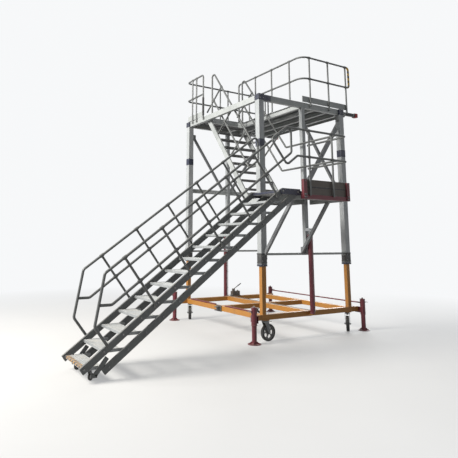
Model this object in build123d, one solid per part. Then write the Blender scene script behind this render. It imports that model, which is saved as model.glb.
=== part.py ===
from build123d import *
import math
import os

# Aircraft maintenance stand: a wheeled base, a lifting tower with a top deck, a side landing,
# a fixed inner stair and a self-levelling lower flight that rolls on its own castors.
# All sizes are millimetres and degrees. While the pieces are worked out, the near left post of the
# tower stands at x = 0, y = 0. +X runs up the lower flight, +Y runs back through the tower, +Z is up.
# At the end the whole stand moves so that the middle of its footprint on the floor is the origin.

# Running fits and joints between pieces
weld_gap = 0.3
pin_gap = 0.25
slide_gap = 0.4
side_gap = 5.0

# Tower plan and heights
tower_width = 2350.0
tower_depth = 2950.0
landing_height = 2800.0
deck_height = 4925.0
base_top = 495.0
tie_height = 1632.0
mid_beam_height = 3140.0

# Sections of the tower
base_beam = 100.0
inner_post = 90.0
inner_post_wall = 5.0
inner_post_length = 2650.0
outer_post = 130.0
outer_post_wall = 6.0
outer_post_foot = 1440.0
mid_post = 90.0
tie_size = 45.0
mid_beam_width = 60.0
mid_beam_depth = 100.0
deck_beam_width = 80.0
deck_beam_depth = 125.0
brace_size = 60.0
brace_head_drop = 205.0
brace_foot_spread = 110.0
prop_reach = 780.0
prop_foot_height = 1650.0
collar_size = 146.0
collar_depth = 40.0
corner_cap = 150.0

# Jacks at the ends of the long beams
jack_reach = 306.0
jack_offset = 122.0
jack_sleeve_radius = 54.0
jack_sleeve_bottom = 330.0
jack_sleeve_top = 650.0
jack_leg_radius = 46.0
jack_leg_top = 430.0
jack_foot_radius = 125.0
jack_foot_thickness = 12.0
jack_plate_width = 230.0
jack_plate_thickness = 12.0
jack_cap_thickness = 12.0

# Lifting rams, one in front of each mid post
ram_offset = 120.0
ram_radius = 45.0
ram_bore = 27.0
ram_bottom = 440.0
ram_top = 2030.0
ram_rod_radius = 25.0
ram_rod_bottom = 620.0
ram_gland_depth = 40.0
ram_head_bottom = 2100.0
ram_head_depth = 60.0
ram_shelf_thickness = 15.0
ram_pipe_radius = 7.0
ram_pipe_offset = 72.0

# Large castors under the corners
wheel_radius = 160.0
tyre_width = 70.0
tyre_depth = 34.0
hub_width = 76.0
castor_trail = 65.0
castor_inset = 50.0
castor_plate = 130.0
castor_plate_thickness = 10.0
castor_axle_radius = 10.0
castor_pin_radius = 12.0
castor_arm_thickness = 8.0
castor_spoke_count = 5

# Lower flight
riser = 200.0
going = 270.0
flight_centre = -570.0
flight_half_spacing = 435.0
stringer_depth = 100.0
stringer_width = 40.0
stringer_foot = 45.0
link_foot = 100.0
link_length = 350.0
pivot_back = 12.0
pivot_drop = 22.0
head_nosing = -320.0
tread_pin_radius = 8.0
head_pin_radius = 10.0
tread_depth = 260.0
tread_height = 38.0
tread_skin = 5.0
tread_ribs = 6
rib_height = 4.0
side_bar_height = 45.0
side_bar_thickness = 8.0
prop_depth = 60.0
prop_width = 30.0

# Small castors under the first tread
small_wheel_radius = 50.0
small_wheel_width = 28.0
small_trail = 28.0
small_castor_half_spacing = 323.0
small_castor_back = 130.0
small_castor_top = 140.0
small_plate = 80.0
small_axle_radius = 6.0
small_pin_radius = 8.0
small_arm_thickness = 4.0

# Tube rails
rail_radius = 21.0
post_radius = 19.0
rail_rise = 876.0
mid_rail_drop = 520.0
fitting_wall = 6.5
fitting_length = 60.0
rail_bend = 70.0
foot_block = 19.0
first_post_run = 1040.0
post_pitch = 585.0
handrail_posts = 5
loop_foot_run = 326.0
loop_back_run = 116.0
loop_back_height = 716.0
loop_top_run = 230.0
mid_bend_run = 350.0
mid_end_run = 165.0
head_loop_reach = 210.0
deck_rail_height = 1085.0
deck_mid_height = 580.0
deck_post_drop = 75.0
deck_loop_reach = 2660.0
deck_post_pitch = 578.0
edge_post_start = 374.0
edge_post_pitch = 646.0
left_post_inset = 216.0
left_post_pitch = 199.0
far_post_offset = 197.0
far_post_pitch = 257.0
landing_rail_height = 1150.0
landing_mid_height = 640.0
corner_bend = 200.0

# Landing
landing_outer = -1080.0
landing_left = 110.0
landing_right = 1310.0
landing_inner_right = 1100.0
landing_back = 540.0
landing_beam_depth = 100.0
landing_beam_width = 40.0
landing_kick = 220.0
landing_upright_width = 80.0
landing_upright_depth = 60.0
landing_rail_depth = 80.0
plank_thickness = 40.0
panel_thickness = 25.0
guard_plane = -1141.0
guard_drop_run = 740.0
guard_drop_height = 890.0
guard_low_run = 390.0
guard_low_height = 450.0
cheek_thickness = 12.0
cheek_left = -350.0

# Inner stair
stair_risers = 10
stair_left = 95.0
stair_right = 1015.0
stair_foot = 594.0
stair_head_drop = 37.0
stair_stringer_depth = 120.0
stair_stringer_width = 36.0
stair_tread_depth = 180.0
stair_tread_thickness = 30.0
stair_head = 2200.0
stair_rail_rise = 880.0
stair_mid_drop = 434.0

# Top deck
deck_right = 2585.0
deck_joists = 4
joist_depth = 85.0
joist_width = 70.0
toe_lift = 20.0
toe_height = 155.0
toe_thickness = 15.0
bumper_size = 60.0
bumper_reach = 2830.0
bumper_pad_size = 100.0
bumper_pad_length = 110.0

# Pump on the far beam and towing jaw on the left beam
pump_x = 1400.0
pump_length = 230.0
pump_width = 110.0
pump_height = 120.0
tow_width = 190.0
tow_ear = 18.0
tow_gap = 46.0
tow_reach = 110.0
tow_pin_radius = 13.0

# Values that follow from the sizes above
slope = math.atan2(riser, going)
steps = round(landing_height / riser)
foot_nosing = head_nosing - (steps - 1) * going
stair_slope = (deck_height - stair_head_drop - landing_height) / (stair_head - stair_foot)
post_face = outer_post / 2
deck_beam_bottom = deck_height - deck_beam_depth
deck_edge = deck_beam_width / 2
guard_out = deck_edge + weld_gap + post_radius
near_y, far_y = 0.0, tower_depth
left_x, right_x = 0.0, tower_width
mid_x = tower_width / 2
head_pivot = Vector(head_nosing + pivot_back, 0, landing_height - pivot_drop)
corners = [  # name, x, y, way out along X, way out along Y, heading of the castor's trail in degrees
    ("near_left", left_x, near_y, -1, -1, 0.0),
    ("far_left", left_x, far_y, -1, 1, 60.0),
    ("near_right", right_x, near_y, 1, -1, 223.0),
    ("far_right", right_x, far_y, 1, 1, 150.0),
]


# Shapes used all over the stand
def box(x_range, y_range, z_range):
    size = [high - low for low, high in (x_range, y_range, z_range)]
    middle = [(low + high) / 2 for low, high in (x_range, y_range, z_range)]
    return Pos(*middle) * Box(*size)


def rod(start, end, radius):
    way = Vector(*end) - Vector(*start)
    place = Plane(origin=Vector(*start), z_dir=way)
    return place.location * Cylinder(radius, way.length, align=(Align.CENTER, Align.CENTER, Align.MIN))


def bar(start, end, side_width, depth, reach=0.0):
    """A straight bar: side_width lies level across it, depth stands square to it."""
    start, end = Vector(*start), Vector(*end)
    way = end - start
    side = Vector(0, 0, 1).cross(way)
    place = Plane(origin=(start + end) / 2, x_dir=way, z_dir=way.cross(side))
    return place.location * Box(way.length + 2 * reach, side_width, depth)


def rail_run(points, radius, bend):
    """A bent rail as the lengths it is welded from: straight tubes, with an elbow at each bend."""
    path = FilletPolyline(*[Vector(*point) for point in points], radius=bend)
    solids = []
    for edge in path.edges():
        start, end = edge @ 0, edge @ 1
        if edge.geom_type == GeomType.LINE:
            gap = (end - start).normalized() * weld_gap
            solids.append(rod(start + gap, end - gap, radius))
        else:
            section = Plane(origin=start, z_dir=edge % 0) * Circle(radius)
            solids.append(sweep(section, path=edge))
    return solids


def rail_post(foot, along, rails):
    """A post from its foot to the last of the rails, with a ring fitting round each of them.

    The rails' centres lie on the post's own line, and along is the way the rails run."""
    foot, along = Vector(*foot), Vector(*along).normalized()
    centres = [Vector(*centre) for centre in rails]
    half = along * (fitting_length / 2)
    post = rod(foot, centres[-1], post_radius)
    for centre in centres:
        post += rod(centre - half, centre + half, rail_radius + fitting_wall)
    for centre in centres:
        post -= rod(centre - 2 * half, centre + 2 * half, rail_radius + weld_gap)
    return post


def square_tube(x, y, z_range, size, wall):
    half = size / 2
    inside = half - wall
    outer = box((x - half, x + half), (y - half, y + half), z_range)
    return outer - box((x - inside, x + inside), (y - inside, y + inside), z_range)


def flight_point(along, up, start):
    """A point in the flight's own plane: along its slope from start, and square to the slope."""
    x = start.X + along * math.cos(slope) - up * math.sin(slope)
    z = start.Z + along * math.sin(slope) + up * math.cos(slope)
    return x, z


def line_z(x, up):
    """Height over x of a line that runs parallel to the upper stringer, up square to it."""
    return head_pivot.Z + (x - head_pivot.X) * math.tan(slope) + up / math.cos(slope)


# Base
def base_frame():
    half, low = base_beam / 2, base_top - base_beam
    level = (low, base_top)
    beam_end = jack_reach - jack_sleeve_radius - jack_plate_thickness / 2
    solids = []
    for y in (near_y, far_y):
        solids.append(box((left_x - beam_end, right_x + beam_end), (y - half, y + half), level))
    inner_y = (near_y + half + weld_gap, far_y - half - weld_gap)
    for x in (left_x, mid_x, right_x):
        solids.append(box((x - half, x + half), inner_y, level))
    middle = tower_depth / 2
    for start, end in ((left_x, mid_x), (mid_x, right_x)):
        span = (start + half + weld_gap, end - half - weld_gap)
        solids.append(box(span, (middle - half, middle + half), level))
    for y, out in ((near_y, -1), (far_y, 1)):
        face, tip = y + out * (half + weld_gap), y + out * (ram_offset + ram_radius + weld_gap)
        shelf_y = sorted((face, tip))
        shelf_z = (ram_bottom - ram_shelf_thickness, ram_bottom)
        solids.append(box((mid_x - ram_radius, mid_x + ram_radius), shelf_y, shelf_z))
    for name, x, y, out_x, out_y, heading in corners:
        swivel_x = x - out_x * castor_inset
        half_plate = castor_plate / 2
        top = low - weld_gap
        plate = box((swivel_x - half_plate, swivel_x + half_plate), (y - half_plate, y + half_plate),
                    (top - castor_plate_thickness, top))
        plate -= Pos(swivel_x, y, top) * Cylinder(castor_pin_radius + pin_gap, 4 * castor_plate_thickness)
        solids.append(plate)
    return solids


def inner_posts():
    level = (base_top, base_top + inner_post_length)
    return [square_tube(x, y, level, inner_post, inner_post_wall) for _, x, y, *_ in corners]


def tow_bracket():
    middle, face = tower_depth / 2, left_x - base_beam / 2
    mid_z = base_top - base_beam / 2
    plate = box((face - tow_ear, face), (middle - tow_width / 2, middle + tow_width / 2),
                (mid_z - tow_width / 3, mid_z + tow_width / 3))
    jaw = plate
    for side in (-1, 1):
        low = mid_z + side * tow_gap / 2
        ear_z = sorted((low, low + side * tow_ear))
        ear = box((face - tow_reach, face), (middle - tow_reach / 2, middle + tow_reach / 2), ear_z)
        jaw += fillet(ear.edges().filter_by(Axis.Z).group_by(Axis.X)[0], tow_reach / 3)
    hole_x = face - tow_reach + tow_reach / 3
    jaw -= Pos(hole_x, middle, mid_z) * Cylinder(tow_pin_radius, 2 * tow_reach)
    return [jaw]


def jack_sleeves():
    solids = []
    for name, x, y, out_x, out_y, heading in corners:
        jack_x, jack_y = x + out_x * jack_reach, y + out_y * jack_offset
        face = x + out_x * (jack_reach - jack_sleeve_radius)
        plate_x = sorted((face - out_x * jack_plate_thickness / 2, face + out_x * jack_plate_thickness / 2))
        outer_edge = jack_y + out_y * jack_sleeve_radius
        plate_y = sorted((outer_edge, outer_edge - out_y * jack_plate_width))
        sleeve_height = jack_sleeve_top - jack_sleeve_bottom
        sleeve = Pos(jack_x, jack_y, jack_sleeve_bottom + sleeve_height / 2) * (
            Cylinder(jack_sleeve_radius, sleeve_height))
        plate_z = (base_top - base_beam - 2 * jack_cap_thickness, base_top)
        sleeve += box(plate_x, plate_y, plate_z)
        bore_height = sleeve_height - jack_cap_thickness
        sleeve -= Pos(jack_x, jack_y, jack_sleeve_bottom + bore_height / 2) * (
            Cylinder(jack_leg_radius + slide_gap, bore_height))
        solids.append(sleeve)
    return solids


def jack_leg(corner):
    name, x, y, out_x, out_y, heading = corner
    jack_x, jack_y = x + out_x * jack_reach, y + out_y * jack_offset
    leg = rod((jack_x, jack_y, 0), (jack_x, jack_y, jack_leg_top), jack_leg_radius)
    return leg + rod((jack_x, jack_y, 0), (jack_x, jack_y, jack_foot_thickness), jack_foot_radius)


def stay_rods():
    """Two stay rods stowed on the left beam, and one between the right jacks' sleeves."""
    lift = base_top + tie_size / 3
    middle = tower_depth / 2
    radius = tie_size / 3 - weld_gap
    solids = []
    for start, end in ((inner_post * 2, middle - tow_width), (middle + tow_width, tower_depth - inner_post * 2)):
        solids.append(rod((left_x - radius, start, lift), (left_x - radius, end, lift), radius))
    x = right_x + jack_reach
    start = near_y - jack_offset + jack_sleeve_radius + weld_gap
    end = far_y + jack_offset - jack_sleeve_radius - weld_gap
    solids.append(rod((x, start, lift + tow_width / 3), (x, end, lift + tow_width / 3), radius))
    return solids


def ram_barrels():
    solids = []
    for y, out in ((near_y, -1), (far_y, 1)):
        centre = y + out * ram_offset
        barrel = rod((mid_x, centre, ram_bottom), (mid_x, centre, ram_top), ram_radius)
        bore_foot = ram_bottom + ram_radius
        barrel -= rod((mid_x, centre, bore_foot), (mid_x, centre, ram_top - ram_gland_depth), ram_bore)
        barrel -= rod((mid_x, centre, bore_foot), (mid_x, centre, ram_top + ram_gland_depth),
                      ram_rod_radius + pin_gap)
        solids.append(barrel)
    return solids


def ram_pipes():
    """One steel pipe up each barrel, held by two clips that stand off the barrel."""
    solids = []
    for y, out in ((near_y, -1), (far_y, 1)):
        centre = y + out * ram_offset
        x = mid_x + ram_pipe_offset
        pipe = rod((x, centre, ram_bottom + ram_radius), (x, centre, ram_top - ram_gland_depth), ram_pipe_radius)
        for height in (ram_bottom + 2 * ram_radius, ram_top - 2 * ram_gland_depth):
            clip_x = (mid_x + ram_radius + weld_gap, x)
            clip = box(clip_x, (centre - ram_pipe_radius, centre + ram_pipe_radius),
                       (height - ram_pipe_radius, height + ram_pipe_radius))
            pipe += clip
        solids.append(pipe)
    return solids


def pump_unit():
    half_width = pump_width / 2
    body = box((pump_x - pump_length / 2, pump_x + pump_length / 2), (far_y - half_width, far_y + half_width),
               (base_top, base_top + pump_height))
    body = fillet(body.edges().filter_by(Axis.Z), pump_width / 8)
    block_x = pump_x - pump_length / 4
    block_top = base_top + pump_height * 1.5
    body += box((block_x - half_width / 2, block_x + half_width / 2), (far_y - half_width / 2, far_y + half_width / 2),
                (base_top + pump_height - 1, block_top))
    handle_foot = (block_x, far_y, block_top - half_width / 4)
    body += rod(handle_foot, (block_x + pump_length, far_y, block_top + pump_height), pump_width / 12)
    return [body]


# Large castors: the fork turns in the base, the wheel turns in the fork
def castor_centre(corner):
    name, x, y, out_x, out_y, heading = corner
    angle = math.radians(heading)
    swivel = Vector(x - out_x * castor_inset, y, 0)
    return swivel, swivel + Vector(math.cos(angle), math.sin(angle), 0) * castor_trail


def turned(shape, corner):
    """Carry a shape from a swivel at the origin, trailing along +X, to its corner."""
    swivel, _ = castor_centre(corner)
    return Pos(swivel.X, swivel.Y, 0) * Rot(0, 0, corner[-1]) * shape


def castor_fork(corner):
    plate_bottom = base_top - base_beam - weld_gap - castor_plate_thickness
    crown_top = plate_bottom - weld_gap
    arm_inner = hub_width / 2 + side_gap
    arm_outer = arm_inner + castor_arm_thickness
    crown_z = (crown_top - 2.5 * castor_plate_thickness, crown_top)
    crown_reach = castor_plate / 2
    fork = box((-crown_reach, crown_reach), (-arm_outer, arm_outer), crown_z)
    fork = fillet(fork.edges().filter_by(Axis.Z), castor_plate / 4)
    for side in (-1, 1):
        boss = Pos(castor_trail, wheel_radius) * Circle(castor_axle_radius * 2.5)
        head = Pos(0, crown_top - castor_plate_thickness) * Rectangle(castor_plate * 0.8, castor_plate_thickness)
        outline = make_hull([*boss.edges(), *head.edges()])
        arm_y = sorted((side * arm_inner, side * arm_outer))
        arm = Plane(origin=(0, arm_y[1], 0), x_dir=(1, 0, 0), z_dir=(0, -1, 0)) * outline
        fork += extrude(arm, castor_arm_thickness)
    fork += rod((0, 0, crown_top - castor_plate_thickness),
                (0, 0, plate_bottom + castor_plate_thickness), castor_pin_radius)
    fork += rod((castor_trail, -arm_outer - castor_arm_thickness, wheel_radius),
                (castor_trail, arm_outer + castor_arm_thickness, wheel_radius), castor_axle_radius)
    return turned(fork, corner)


def castor_tyre(corner):
    rim = wheel_radius - tyre_depth
    half = tyre_width / 2
    crown = tyre_depth / 3
    section = Polyline(
        (rim, -half * 0.8), (wheel_radius - crown, -half), (wheel_radius, -half / 2), (wheel_radius, half / 2),
        (wheel_radius - crown, half), (rim, half * 0.8), close=True)
    ring = revolve(Plane.XY * make_face(section), Axis.Y)
    return turned(Pos(castor_trail, 0, wheel_radius) * ring, corner)


def castor_hub(corner):
    rim = wheel_radius - tyre_depth - weld_gap
    half_rim, half_hub = tyre_width * 0.4, hub_width / 2
    boss = castor_axle_radius * 3
    web = tyre_width / 8
    rim_depth = tyre_depth / 3
    section = Polyline(
        (castor_axle_radius + pin_gap, -half_hub), (boss, -half_hub), (boss, -web), (rim - rim_depth, -web),
        (rim - rim_depth, -half_rim), (rim, -half_rim), (rim, half_rim), (rim - rim_depth, half_rim),
        (rim - rim_depth, web), (boss, web), (boss, half_hub), (castor_axle_radius + pin_gap, half_hub), close=True)
    hub = revolve(Plane.XY * make_face(section), Axis.Y)
    window = (boss + rim - rim_depth) / 2
    window_radius = (rim - rim_depth - boss) / 2 - web / 2
    for number in range(castor_spoke_count):
        angle = 2 * math.pi * number / castor_spoke_count
        x, z = window * math.cos(angle), window * math.sin(angle)
        hub -= rod((x, -half_hub, z), (x, half_hub, z), window_radius)
    return turned(Pos(castor_trail, 0, wheel_radius) * hub, corner)


# Lifting tower
def outer_posts():
    level = (outer_post_foot, deck_beam_bottom - weld_gap)
    solids = [square_tube(x, y, level, outer_post, outer_post_wall) for _, x, y, *_ in corners]
    half = mid_post / 2
    foot = tie_height + tie_size / 2
    for y in (near_y, far_y):
        solids.append(box((mid_x - half, mid_x + half), (y - half, y + half), (foot, deck_beam_bottom - weld_gap)))
    return solids


def post_collars():
    """Guide collars under the outer posts, and the caps that join the deck's beams over them."""
    half, cap = collar_size / 2, corner_cap / 2
    bore = inner_post / 2 + slide_gap
    solids = []
    for name, x, y, *_ in corners:
        level = (outer_post_foot - collar_depth, outer_post_foot)
        ring = box((x - half, x + half), (y - half, y + half), level)
        solids.append(ring - box((x - bore, x + bore), (y - bore, y + bore), level))
        solids.append(box((x - cap, x + cap), (y - cap, y + cap), (deck_beam_bottom, deck_height)))
    return solids


def deck_frame():
    """Beams round the top deck, joists, docking arms, and the level members between the posts."""
    half, cap = deck_edge, corner_cap / 2
    level = (deck_beam_bottom, deck_height)
    inner_x, inner_y = (left_x + cap, right_x - cap), (near_y + cap, far_y - cap)
    solids = [
        box((left_x - half, left_x + half), inner_y, level),
        box((right_x - half, right_x + half), inner_y, (deck_beam_bottom, deck_height - plank_thickness)),
    ]
    for y in (near_y, far_y):
        solids.append(box(inner_x, (y - half, y + half), level))
    between = (near_y + half + weld_gap, far_y - half - weld_gap)
    top = deck_height - plank_thickness
    pitch = tower_width / 2 / (deck_joists - 1)
    for number in range(deck_joists - 1):
        x = mid_x + number * pitch
        low = deck_beam_bottom if number == 0 else top - joist_depth
        solids.append(box((x - joist_width / 2, x + joist_width / 2), between, (low, top)))
    head = (stair_head, stair_head + joist_width)
    solids.append(box((left_x + half + weld_gap, mid_x - joist_width / 2 - weld_gap), head, (deck_beam_bottom, top)))
    post_x = (left_x + post_face, right_x - post_face)
    tie = tie_size / 2
    for y in (near_y, far_y):
        solids.append(box(post_x, (y - tie, y + tie), (tie_height - tie, tie_height + tie)))
    beam = (mid_beam_height - mid_beam_depth / 2, mid_beam_height + mid_beam_depth / 2)
    for x_range in ((left_x + post_face + weld_gap, mid_x - mid_post / 2 - weld_gap),
                    (mid_x + mid_post / 2 + weld_gap, right_x - post_face - weld_gap)):
        solids.append(box(x_range, (far_y - mid_beam_width / 2, far_y + mid_beam_width / 2), beam))
    arm, arm_z = bumper_size / 2, deck_height - deck_beam_depth / 2
    for y in (near_y, far_y):
        solids.append(box((right_x + cap + weld_gap, bumper_reach), (y - arm, y + arm), (arm_z - arm, arm_z + arm)))
    return solids


def braces():
    """Diagonals, each cut flush to the posts, beams and gusset that it is welded between."""
    reach, level = 2 * brace_size, brace_size / 2
    head_z, beam_top = deck_beam_bottom - brace_head_drop, mid_beam_height + mid_beam_depth / 2
    left_face, right_face = left_x + post_face, right_x - post_face
    mid_left, mid_right = mid_x - mid_post / 2, mid_x + mid_post / 2
    bay_height = deck_beam_bottom - tie_height
    solids = []
    far_bays = [  # x of the post's face, x of the foot on the level beam, x range of the bay
        (left_face, mid_left - brace_foot_spread, (left_face, mid_left)),
        (right_face, mid_right + brace_foot_spread / 4, (mid_right, right_face)),
    ]
    for post_x, foot_x, (start, end) in far_bays:
        bay = box((start + weld_gap, end - weld_gap), (far_y - brace_size, far_y + brace_size),
                  (beam_top + weld_gap, deck_beam_bottom - weld_gap))
        solids.append(bar((post_x, far_y, head_z), (foot_x, far_y, beam_top), brace_size * 0.8, brace_size, reach) & bay)
    bay = box((mid_right + weld_gap, right_face - weld_gap), (near_y - reach, near_y + reach),
              (tie_height, deck_beam_bottom - weld_gap))
    near_diagonals = [  # x and height of the high end, x and height of the low end, y, depth of the bar
        (right_face, 0.938, mid_right, 0.461, near_y - level, 1.6 * brace_size),
        (mid_right, 0.906, right_face, 0.413, near_y + level, brace_size),
    ]
    for high_x, high, low_x, low, y, depth in near_diagonals:
        top = (high_x, y, tie_height + high * bay_height)
        foot = (low_x, y, tie_height + low * bay_height)
        solids.append(bar(top, foot, brace_size - 2 * side_gap, depth, reach) & bay)
    under = landing_height - plank_thickness - landing_beam_depth
    gusset_x, gusset_depth = mid_left - 1.5 * brace_size, tie_size / 2
    tie_top = tie_height + tie_size / 2
    props = [  # x, y of the face that it stands on, height of the foot
        (left_x + post_face - level, near_y - post_face, prop_foot_height),
        (gusset_x + level, near_y - gusset_depth, prop_foot_height + brace_size),
    ]
    for x, face, foot_z in props:
        space = box((left_x, mid_x), (landing_outer, face - weld_gap), (base_top, under - weld_gap))
        head_x = max(x, landing_left + level)
        solids.append(bar((x, face, foot_z), (head_x, near_y - prop_reach, under), brace_size, brace_size, reach) & space)
    solids.append(box((gusset_x, mid_left - weld_gap), (near_y - gusset_depth, near_y + gusset_depth),
                      (tie_top + weld_gap, tie_top + 2 * brace_size)))
    return solids


def deck_planks():
    """Planks of the top deck, the strip at the stair's head and the landing, laid along X."""
    solids = []
    top, low = deck_height, deck_height - plank_thickness
    half = deck_beam_width / 2
    fields = [  # x range, y range, top, count of planks across Y
        ((mid_x - joist_width / 2, deck_right - toe_thickness), (near_y + half, far_y - half), top, 10),
        ((left_x + half, mid_x - joist_width / 2 - 1), (stair_head, far_y - half), top, 2),
        ((landing_left, landing_right), (landing_outer, near_y - mid_post / 2), landing_height, 4),
        ((landing_left, landing_inner_right), (near_y - mid_post / 2, landing_back), landing_height, 2),
    ]
    for x_range, y_range, level, count in fields:
        pitch = (y_range[1] - y_range[0]) / count
        for number in range(count):
            start = y_range[0] + number * pitch + weld_gap
            plank_y = (start, start + pitch - 2 * weld_gap)
            solids.append(box(x_range, plank_y, (level - plank_thickness + weld_gap, level)))
    cap = corner_cap + 2 * weld_gap
    for _, x, y, *_ in corners:
        notch = Pos(x, y, deck_height) * Box(cap, cap, 2 * deck_beam_depth)
        solids = [plank - notch for plank in solids]
    return solids


def toe_boards():
    """Boards that the guard posts hold a little over the deck, and the strip that closes the docking edge."""
    level = (deck_height + toe_lift, deck_height + toe_height)
    near_board = (near_y - deck_edge, near_y - deck_edge + toe_thickness)
    far_board = (far_y + deck_edge - toe_thickness, far_y + deck_edge)
    runs = [  # x range, y range, z range
        ((mid_x, deck_right), near_board, level),
        ((left_x - deck_edge, deck_right), far_board, level),
        ((left_x - deck_edge, left_x - deck_edge + toe_thickness),
         (stair_head + 2 * rail_radius, far_board[0] - weld_gap), level),
        ((deck_right - toe_thickness, deck_right), (near_y + deck_edge, far_y - deck_edge),
         (deck_beam_bottom, deck_height)),
    ]
    return [box(*run) for run in runs]


def deck_guardrail():
    """Two rails on each long side that join in a loop at the docking edge, with posts outside the beams."""
    top, middle = deck_height + deck_rail_height, deck_height + deck_mid_height
    near_line, far_line, left_line = near_y - guard_out, far_y + guard_out, left_x - guard_out
    post_foot = deck_height - deck_post_drop
    reach = rail_radius + weld_gap
    sides = [  # x of the end, y of the end, y of the long side, large bend, way from the end to the corner
        (mid_x, stair_head + 1.5 * joist_width + stair_tread_depth / 2, near_line, corner_bend, -1),
        (left_line, stair_head, far_line, corner_bend / 2, 1),
    ]
    solids = [rod((left_line, stair_head, post_foot), (left_line, stair_head, deck_height), post_radius)]
    for x, end_y, line, bend, way in sides:
        path = [(x, end_y, deck_height + weld_gap), (x, end_y, top), (x, line, top), (deck_loop_reach, line, top),
                (deck_loop_reach, line, middle), (x, line, middle), (x, end_y + way * reach, middle)]
        solids += rail_run(path, rail_radius, [rail_bend, bend, rail_bend, rail_bend, bend])
    across, back = (1, 0, 0), (0, 1, 0)
    side_posts = [mid_x + corner_bend + rail_radius + number * deck_post_pitch for number in range(3)]
    far_posts = [mid_x - far_post_offset, mid_x - far_post_offset + far_post_pitch, *side_posts[1:]]
    posts = [(mid_x, edge_post_start + number * edge_post_pitch, back) for number in range(3)]
    posts += [(x, near_line, across) for x in side_posts]
    posts += [(x, far_line, across) for x in far_posts]
    posts += [(left_line, far_y - left_post_inset - number * left_post_pitch, back) for number in range(2)]
    for x, y, along in posts:
        foot = deck_height + weld_gap if x == mid_x else post_foot
        solids.append(rail_post((x, y, foot), along, [(x, y, middle), (x, y, top)]))
    return solids


def bumper_pads():
    """Soft pads at the ends of the docking arms, which meet the aircraft first."""
    pad, middle = bumper_pad_size / 2, deck_height - deck_beam_depth / 2
    level = (middle - pad, middle + pad)
    length = (bumper_reach + weld_gap, bumper_reach + bumper_pad_length)
    return [box(length, (y - pad, y + pad), level) for y in (near_y, far_y)]


def ram_rods():
    """Rods of the rams with the heads that push up on the mid posts."""
    solids = []
    half = ram_radius
    for y, out in ((near_y, -1), (far_y, 1)):
        centre = y + out * ram_offset
        piston = rod((mid_x, centre, ram_rod_bottom), (mid_x, centre, ram_head_bottom + 1), ram_rod_radius)
        head_y = sorted((y + out * mid_post / 2, centre + out * half))
        head = box((mid_x - half, mid_x + half), head_y, (ram_head_bottom, ram_head_bottom + ram_head_depth))
        solids.append(piston + head)
    return solids


# Landing
def landing_frame():
    top = landing_height - plank_thickness
    level = (top - landing_beam_depth, top)
    width, gap = landing_beam_width, weld_gap
    solids = []
    for x_range, y_range in (
            ((landing_left, landing_left + width), (landing_outer + width + gap, landing_back)),
            ((landing_right - width, landing_right), (landing_outer + width + gap, near_y - mid_post / 2)),
            ((landing_inner_right - width, landing_inner_right), (near_y + width / 2 + gap, landing_back)),
            ((landing_left + width + gap, mid_x - mid_post / 2 - gap), (near_y - width / 2, near_y + width / 2)),
            ((landing_left + width + gap, landing_inner_right - width - gap), (landing_back - width, landing_back)),
            ((landing_left + width + gap, landing_right - width - gap),
             (landing_outer + 3 * width, landing_outer + 4 * width))):
        solids.append(box(x_range, y_range, level))
    solids.append(box((left_x + post_face, landing_left - gap), (near_y - width / 2, near_y + width / 2), level))
    half = flight_half_spacing - stringer_width / 2 - side_gap
    solids.append(box((head_nosing, landing_left - gap), (flight_centre - half, flight_centre + half),
                      (landing_height - plank_thickness, landing_height)))
    return solids


def landing_front():
    """The landing's painted face: its outer beam, an upright at each end and the rail under the panels."""
    low = landing_height - plank_thickness - landing_beam_depth
    face = landing_outer - weld_gap
    solids = [box((landing_left, landing_right), (landing_outer, landing_outer + landing_beam_width),
                  (low, low + landing_beam_depth))]
    for x in (landing_left, landing_right - landing_upright_width):
        solids.append(box((x, x + landing_upright_width), (landing_outer - landing_upright_depth, face),
                          (low, landing_height + landing_kick)))
    inner_x = landing_upright_width + weld_gap
    solids.append(box((landing_left + inner_x, landing_right - inner_x),
                      (guard_plane + post_radius + weld_gap, face), (low, low + landing_rail_depth)))
    return solids


def landing_panels():
    width = landing_upright_width
    x_range = (landing_left + width + weld_gap, landing_right - width - weld_gap)
    y_range = (landing_outer - panel_thickness - weld_gap, landing_outer - weld_gap)
    low = landing_height - plank_thickness - landing_beam_depth + landing_rail_depth + weld_gap
    high = landing_height + landing_kick
    middle = (low + high) / 2
    panels = [box(x_range, y_range, (low, middle - side_gap)), box(x_range, y_range, (middle + side_gap, high))]
    end_x = (landing_right - toe_thickness, landing_right)
    panels.append(box(end_x, (landing_outer, near_y - mid_post), (landing_height + weld_gap, high)))
    return panels


def flight_heads():
    """Cheek plates beside the flight's head. Their pins carry the stringers and the link bars."""
    solids = []
    pivot_z = landing_height - pivot_drop
    for side in (-1, 1):
        inner = flight_half_spacing + stringer_width / 2 + side_gap
        cheek_y = sorted((flight_centre + side * inner, flight_centre + side * (inner + cheek_thickness)))
        cheek = box((cheek_left, landing_left - weld_gap), cheek_y,
                    (pivot_z - stringer_depth / 2 - side_gap, pivot_z + stringer_depth / 2 + side_gap))
        cheek = fillet(cheek.edges().filter_by(Axis.Y).group_by(Axis.X)[0], stringer_depth / 3)
        pin_end = flight_centre + side * (flight_half_spacing - stringer_width / 2)
        for x in (head_pivot.X, head_pivot.X + link_length):
            cheek += rod((x, cheek_y[0 if side > 0 else 1], pivot_z), (x, pin_end, pivot_z), head_pin_radius)
        solids.append(cheek)
    return solids


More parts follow.
